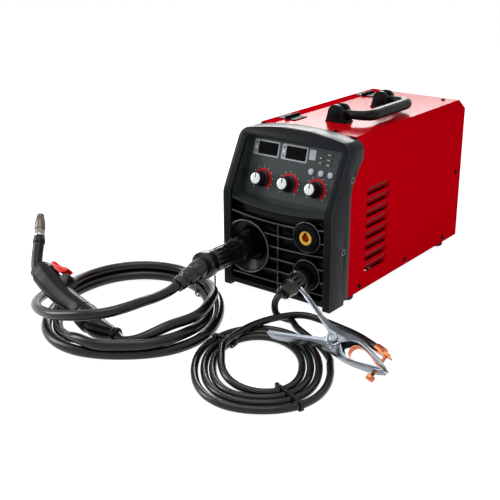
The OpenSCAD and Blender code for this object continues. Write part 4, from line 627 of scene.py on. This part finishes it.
# The knobs stand knob_s up the fascia; their scales run over the sweep (degrees).
knob_s, sweep = 33, (225, -45)
eighths = np.radians(np.arange(0, 360, 45))
dot = np.stack([np.cos(eighths), np.sin(eighths)], 1)
for name, body, x in (("left", "knob_l", -58), ("middle", "knob_m", -4.5), ("right", "knob_r", 49)):
    grip = shape(f"knob_{name}_grip", *lathe(
        [(0.5, 0.35), (13.1, 0.35), (13.5, 0.8), (13.5, 3.5), (13.2, 4.0), (12.3, 4.4), (11.9, 5.2),
         (11.5, 9), (11.2, 13), (10.9, 17), (10.7, 18.6), (10.3, 19.4), (9.7, 19.7), (9.3, 19.7),
         (9.2, 19.3), (0.5, 19.3)], x, knob_s, 0.7), knob_black, body)
    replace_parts(grip, f"knob_{name}")
    shape(f"knob_{name}_cap", *lathe(
        [(0.5, 19.2), (9.15, 19.2), (9.15, 20.3), (8.9, 20.7), (8.4, 20.9), (4, 21.0), (0.5, 21.0)],
        x, knob_s), spun_cap, body)
    printed(f"knob_{name}_pointer", round_box(x - 0.9, 34.5, x + 0.9, 41.6, 0.5), 21.15,
            knob_black, base=20.6, body=body)
    # The red scale widens clockwise, outside it stand eleven round ticks.
    a = np.radians(np.linspace(*sweep, 46))
    inner, outer = 14.4, 16.6 + 3.2 * np.linspace(0, 1, 46)
    printed(f"scale_{name}", np.vstack([
        np.stack([x + inner * np.cos(a[::-1]), knob_s + inner * np.sin(a[::-1])], 1),
        np.stack([x + outer * np.cos(a), knob_s + outer * np.sin(a)], 1)])[::-1], 0.15, red_ink)
    for k, t in enumerate(np.radians(np.linspace(*sweep, 11))):
        centre = np.array([x, knob_s]) + 20.6 * np.array([np.cos(t), np.sin(t)])
        printed(f"tick_{name}_{k}", centre + 0.75 * dot, 0.15, white_ink)
dress(finish("button_abs", "c9cdd0", 0.35, grain=0.0008), "button_left", "button_middle",
      "button_right")

# Carry handle --------------------------------------------------------------
# A thick nylon bow that folds flat over the roof and turns in two brackets. Its
# arms are slim in the brackets and swell into the grip.
handle_nylon = finish("handle_nylon", "111315", 0.34, grain=0.0008, depth=0.00001, specular=0.10)
dress(handle_nylon, "handle_brackets", edge=1.2, segments=3)


def at_roof(points):
    """Points over the roof in metres: X and Y of the machine, Z from the handle's axis."""
    return (np.asarray(points, float) + (0, 0, handle_z)) / 1000


# The front arm and corner; the rear ones are their mirror image, moved by 24 mm.
handle_z, mirrored, moved = 289, (1, -1, 1, 1), (0, 24, 0, 0)
bend = np.radians(np.arange(-90, 1, 15))
swell = ease(np.linspace(0, 1, 7))
front_bend = np.stack([43.5 + 23 * np.cos(bend), -38 + 23 * np.sin(bend), 8 + 2.8 * swell,
                       7.8 + 1.6 * swell], 1)
front_arm = np.array([(19.2, -61, 5.9, 6.2), (26, -61, 5.9, 6.8), (33.5, -61, 6.0, 7.2),
                      (38, -61, 7.0, 7.5)])
grip_line = [(66.7, -20, 11.0, 9.5), (67, 12, 11.0, 9.6), (66.7, 44, 11.0, 9.5)]
bow = swept(np.vstack([front_arm, front_bend, grip_line, front_bend[::-1] * mirrored + moved,
                       front_arm[::-1] * mirrored + moved]), at_roof, 2.0)
# The eyes: a profile (r, v) goes round the axis as eye_x + r cos a, r sin a, at y + v.
eye_x = 12
a = np.linspace(0, 2 * np.pi, 49)[:, None]
r, v = np.array([(4.1, -5.9), (6.9, -5.9), (7.5, -5.3), (7.5, 5.3), (6.9, 5.9), (4.1, 5.9)]).T
eyes = [skin(at_roof(np.stack([eye_x + r * np.cos(a), y + v + 0 * a, r * np.sin(a)], -1)))
        for y in (-61, 85)]
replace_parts(shape("carry_bow", *joined(bow, *eyes), handle_nylon, "handle"), "carry_handle")

# Inside --------------------------------------------------------------------
# Behind the door: a galvanised divider, the die-cast wire feeder with its ground
# rolls and the nylon spool hub. Beyond the divider stands the inverter.
dress(finish("galvanised_sheet", "a2a8ac", 0.38, metallic=0.8, grain=0.006, mottle=0.12),
      "divider", "spool_spindle")
dress(finish("extruded_aluminium", "a7abb0", 0.36, metallic=1.0, grain=0.0008), "inverter")
dress(finish("motor_steel", "6f757b", 0.4, metallic=0.9, grain=0.0008), "feed_motor")
dress(finish("die_cast_zinc", "4a4e52", 0.45, metallic=0.7, grain=0.0008), "feed_plate",
      "pressure_arm")
dress(finish("ground_steel", "b9bec3", 0.2, metallic=1.0, grain=0.0005), "drive_roll",
      "pressure_roll")
dress(finish("red_abs", "c41019", 0.3, grain=0.0008), "tension_knob", "power_rocker")
dress(finish("natural_nylon", "d8d6cc", 0.42, grain=0.0008), "spool_hub")

# Torch ---------------------------------------------------------------------
# A swan-neck torch: a smooth two-shell handle that bows away from the trigger,
# a sleeved copper neck that leaves its head at 43 degrees, a bare nozzle and,
# at the foot, a soft rubber boot that bends with the cable.
def at_torch(points):
    """Points of the torch's own frame in metres: X along the handle, Y to the trigger."""
    return placed(points, torch_foot, torch_turn)


def slab(outline, low, high, place=at_torch):
    """Plate of a tool: a flat outline (x, y) between the heights low and high."""
    flat = np.asarray(outline, float)
    points = np.vstack([np.column_stack([flat, np.full(len(flat), z)]) for z in (low, high)])
    return place(points), prism(len(flat))


# Glass-filled PA6, slightly glossy from a polished tool.
torch_pa = finish("torch_pa6", "101113", 0.30, grain=0.0008, depth=0.00001, specular=0.12)
torch_rubber = finish("torch_rubber", "0c0d0e", 0.26, grain=0.0008, depth=0.00001, specular=0.18)
grip = shape("torch_grip", *swept([
    (-14, -11, 18.6, 18.6), (-13.4, -11, 19.4, 19.4), (8, -10.4, 19.4, 19.4), (9, -10.4, 18.9, 18.9),
    (9.6, -10.4, 17.6, 17.6), (11, -10.4, 17.5, 17.5), (11.8, -10.4, 18.2, 18.2), (30, -11, 17.6, 17.4),
    (50, -12.8, 17.4, 17), (70, -13.4, 17.8, 17), (90, -12.6, 18.6, 17.5), (106, -12, 19.4, 18),
    (120, -10.8, 19.4, 18), (129, -9.8, 19.8, 18), (136, -9.6, 19.2, 17.2), (142, -12.4, 15.6, 14.6),
    (147.5, -14, 11.6, 11.6), (150, -13.4, 10.4, 10.4), (151, -13.1, 8, 8)],
    at_torch, 1.5, 0.86),
    torch_pa, "case")
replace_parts(grip, "torch_handle")
# The shell's parting line carries a raised guard below the trigger, and a lug
# inside the trigger holds its pin.
lug = np.radians(np.arange(-20, 201, 20))
guard = shape("trigger_guard", *joined(
    slab([(70, 0), (73, 8), (76.5, 14.4), (81, 17.8), (86, 17.6), (90, 14.2), (96, 5), (98, 0)], -8.5, 8.5),
    slab([(108, 0), *np.stack([119 + 2.3 * np.cos(lug), 14 + 2.3 * np.sin(lug)], 1)[::-1], (130, 0)],
         -5.0, 5.0)), torch_pa, "case", smooth=False)
soften(guard, 0.9, 3)
trigger_side = [(130.8, 12.0), (128.2, 16.8), (122.7, 18.2), (119, 18.2), (109.9, 18.4), (104.8, 19.8),
                (95.5, 23.6), (91.6, 21.8), (93.5, 16.8), (101.5, 9.6), (110.4, 9.4), (125.7, 10.6)]
top = np.array(trigger_side[:8])
under = np.array([(128.8, 12.0), (127.0, 15.4), (122.6, 16.7), (119, 16.7), (109.7, 16.9), (104.2, 18.3),
                  (95.6, 21.9), (93.6, 20.6)])
trigger = shape("trigger_shell", *joined(
    slab(np.vstack([top, under[::-1]])[::-1], -7.5, 7.5),
    slab(trigger_side[::-1], -7.5, -5.6), slab(trigger_side[::-1], 5.6, 7.5)),
    finish("trigger_abs", "f2201c", 0.28, grain=0.0008, depth=0.00001), "trigger", smooth=False)
soften(trigger, 0.35)
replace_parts(trigger, "torch_trigger")
neck = shape("torch_swan_neck", *swept([
    (147, -14.2, 8.2, 8.2), (151.6, -12.6, 8.8, 8.8), (160, -7.2, 9.1, 9.1), (167, -1.6, 9.1, 9.1),
    (174.6, 5.2, 9.1, 9.1), (184, 14.6, 9.1, 9.1), (188.6, 19.2, 9.1, 9.1), (189.1, 19.7, 9.9, 9.9),
    (194.6, 25.2, 9.9, 9.9), (195.1, 25.7, 9.3, 9.3), (198, 28.2, 9.3, 9.3), (198.4, 28.6, 7, 7)],
    at_torch, 1.0), torch_rubber, "case")
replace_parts(neck, "torch_neck")
# The nozzle is nickelled copper, browned by heat; a bright spring ring with
# three coils holds it on the neck.
nozzle_way = np.array([0.766, 0.643])
nozzle_foot = np.array([197.6, 27.9])


def along_nozzle(rows, step=0.6):
    """Turned form on the nozzle's axis from profile rows (distance, radius) in mm."""
    d, r = np.asarray(rows, float).T
    x, y = (nozzle_foot + d[:, None] * nozzle_way).T
    return swept(np.stack([x, y, r, r], 1), at_torch, step)


coils = [row for k in range(3) for row in
         [(6 + 2.6 * k, 7.0), (6.5 + 2.6 * k, 8.0), (7.3 + 2.6 * k, 8.6), (8.1 + 2.6 * k, 8.0)]]
tip = shape("torch_gas_nozzle", *along_nozzle(
    [(13.2, 6.4), (13.6, 8.2), (14.6, 8.8), (26, 8.8), (33, 8.0), (38, 6.9), (43.6, 6.3), (44.2, 5.9),
     (44.3, 5.0), (30, 4.9), (29.6, 0.4)]),
    finish("nickelled_copper", "5c5650", 0.30, metallic=1.0, grain=0.0006, mottle=0.2), "case")
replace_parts(tip, "torch_nozzle")
shape("torch_spring_ring", *along_nozzle([(0.5, 6.6), (0.9, 8.4), (5, 8.4), (5.6, 7.2), *coils, (14, 6.2)]),
      finish("bright_nickel", "98938c", 0.22, metallic=1.0, grain=0.0006), "case")
boot = shape("torch_rear_boot", *swept([
    (-69.6, 1.4, 8.3, 8.3), (-69.2, 1.3, 10.4, 10.4), (-68.4, 1.0, 11.0, 11.0), (-62.4, -0.8, 11.2, 11.2),
    (-61.6, -1.0, 10.6, 10.6), (-61, -1.2, 9.9, 9.9), (-59, -1.9, 10.3, 10.3), (-50, -5, 12.8, 12.8),
    (-40, -8.4, 15.0, 15.0), (-30, -10.8, 16.4, 16.4), (-22, -11.4, 16.8, 16.8), (-14.4, -11.4, 16.6, 16.6)],
    at_torch, 1.5), torch_rubber, "case")
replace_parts(boot, "torch_boot")
dress(finish("plug_pa6", "0c0d0e", 0.22, grain=0.0008, depth=0.00001, specular=0.4),
      "torch_plug", "torch_plug_nut", "earth_plug", edge=0.6)

# Earth clamp ---------------------------------------------------------------
# Two arms pressed from sheet into channels, zinc plated with a cloudy blue-grey
# bloom, on one rivet; their cheeks are cut out round the mouth.
sheet = 1.8
zinc = finish("zinc_plated_steel", "70767e", 0.34, metallic=1.0, grain=0.004, depth=0.00001,
              mottle=0.1, second="a0a6ae")
dress(zinc, "clamp_pivot")


def at_clamp(points):
    """Points of the clamp's own frame in metres: X to the jaw tips, Y to the upper arm."""
    return placed(points, clamp_foot, clamp_turn)


def channel(side, width):
    """Arm of the clamp: a web along its back and two cheeks, each in two halves that meet at
    the rivet's hole. side is 1 for the upper arm and -1 for the lower."""
    spine = np.array([(-98, 43), (-84, 40), (-70, 35), (-36, 22), (-12, 16.5), (0, 17), (22, 17.8),
                      (40, 16.9), (62, 13), (80, 8.6), (90, 3.2)])
    rim = np.array([(90, 0.6), (82, 1.4), (70, 4.4), (57, 8.9), (46, 11.6), (34, 12.2), (24, 9.4), (15, 2),
                    (10.5, -7), (7, -9), (0, -9.6), (-7, -9), (-11, -4), (-16, 5), (-36, 14), (-70, 28),
                    (-84, 32.5), (-98, 37)])
    a = np.radians(np.arange(0, 181, 15))
    hole = 4.1 * np.stack([np.sin(a), np.cos(a)], 1)
    ahead = np.vstack([spine[5:], rim[:11], hole[::-1]])
    behind = np.vstack([spine[:6], hole * (-1, 1), rim[10:]])
    web = np.vstack([spine, (spine - (0, sheet))[::-1]])
    far, near = (width / 2 - sheet, width / 2), (-width / 2, sheet - width / 2)
    forms = []
    for outline, low, high in ((web, -width / 2, width / 2), (ahead, *far), (ahead, *near),
                               (behind, *far), (behind, *near)):
        flat = outline * (1, side)
        forms.append(slab(flat[::-1] if side > 0 else flat, low, high, at_clamp))
    return joined(*forms)


for node, side, width, body in (("clamp_upper_jaw", 1, 22, "clamp_upper"),
                                ("clamp_lower_jaw", -1, 17.8, "case")):
    arm = shape(f"{node}_arm", *channel(side, width), zinc, body, smooth=False)
    soften(arm, 0.35)
    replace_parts(arm, node)
copper = finish("copper_plate", "bc6a44", 0.24, metallic=1.0, grain=0.0008, mottle=0.1)
dress(copper, "clamp_bolts")

# The shunt is a bare copper strip 10 mm wide, bent into a loop in the mouth and
# bolted to both jaws: its lower end stays, its upper end rides on the moving jaw
# and the loop between them rides on neither.
loop = through([(87, -1.7, 0), (79, -2.2, 0), (69, -4.2, 0), (58, -7.8, 0), (47, -10.6, 0), (38, -10.6, 0),
                (31, -7.2, 0), (28.5, 0, 0), (31, 7.2, 0), (38, 10.6, 0), (47, 10.6, 0), (58, 7.8, 0),
                (66, 4.6, 0), (72, 1.8, 0)], 1.5)
way = np.gradient(loop, axis=0)
way /= np.linalg.norm(way, axis=1)[:, None]
out = np.stack([way[:, 1], -way[:, 0], 0 * way[:, 0]], 1)
corner = np.array([(0.6, 5), (-0.6, 5), (-0.6, -5), (0.6, -5)])
strip = loop[:, None] + corner[:, 0, None] * out[:, None] + corner[:, 1, None] * (0, 0, 1)
# It is cut into stretches at the loop's two widest rows.
low, high = (int(np.argmin(np.hypot(loop[:, 0] - 38, loop[:, 1] - y))) for y in (-10.6, 10.6))
for name, rows, body in (("lower", strip[:low + 1], "case"), ("bend", strip[low:high + 1], None),
                         ("upper", strip[high:], "clamp_upper")):
    strap = shape(f"copper_shunt_{name}", *skin(at_clamp(rows.reshape(-1, 3)).reshape(rows.shape)),
                  copper, body, smooth=False)
    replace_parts(strap, "clamp_strap")
    if body is None:
        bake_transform(strap)
# Hexagon bolt of the lower jaw: every row (r, h, six) goes round as a circle where six
# is 0, and as a hexagon of radius r cos 30 / cos(a mod 60 - 30) where it is 1.
a = np.linspace(0, 2 * np.pi, 48, endpoint=False)
hexagon = np.cos(np.pi / 6) / np.cos(np.mod(a, np.pi / 3) - np.pi / 6)
rows = [(0.4, 22.9, 1), (5.9, 22.9, 1), (6.8, 22.2, 1), (7.0, 21.4, 1), (7.0, 16.3, 1), (6.2, 15.6, 1),
        (2.7, 15.6, 0), (2.7, 2.6, 0), (4.4, 2.6, 0), (4.4, 2.35, 0), (0.4, 2.35, 0)]
r, h, six = np.array(rows).T[:, :, None]
radius = r * (1 + six * (hexagon - 1))
bolt_x = 78
grid = np.stack([bolt_x + radius * np.cos(a), -h + 0 * a, radius * np.sin(a)], -1)
shape("lower_jaw_bolt", *skin(at_clamp(grid.reshape(-1, 3)).reshape(grid.shape)), copper, "case")
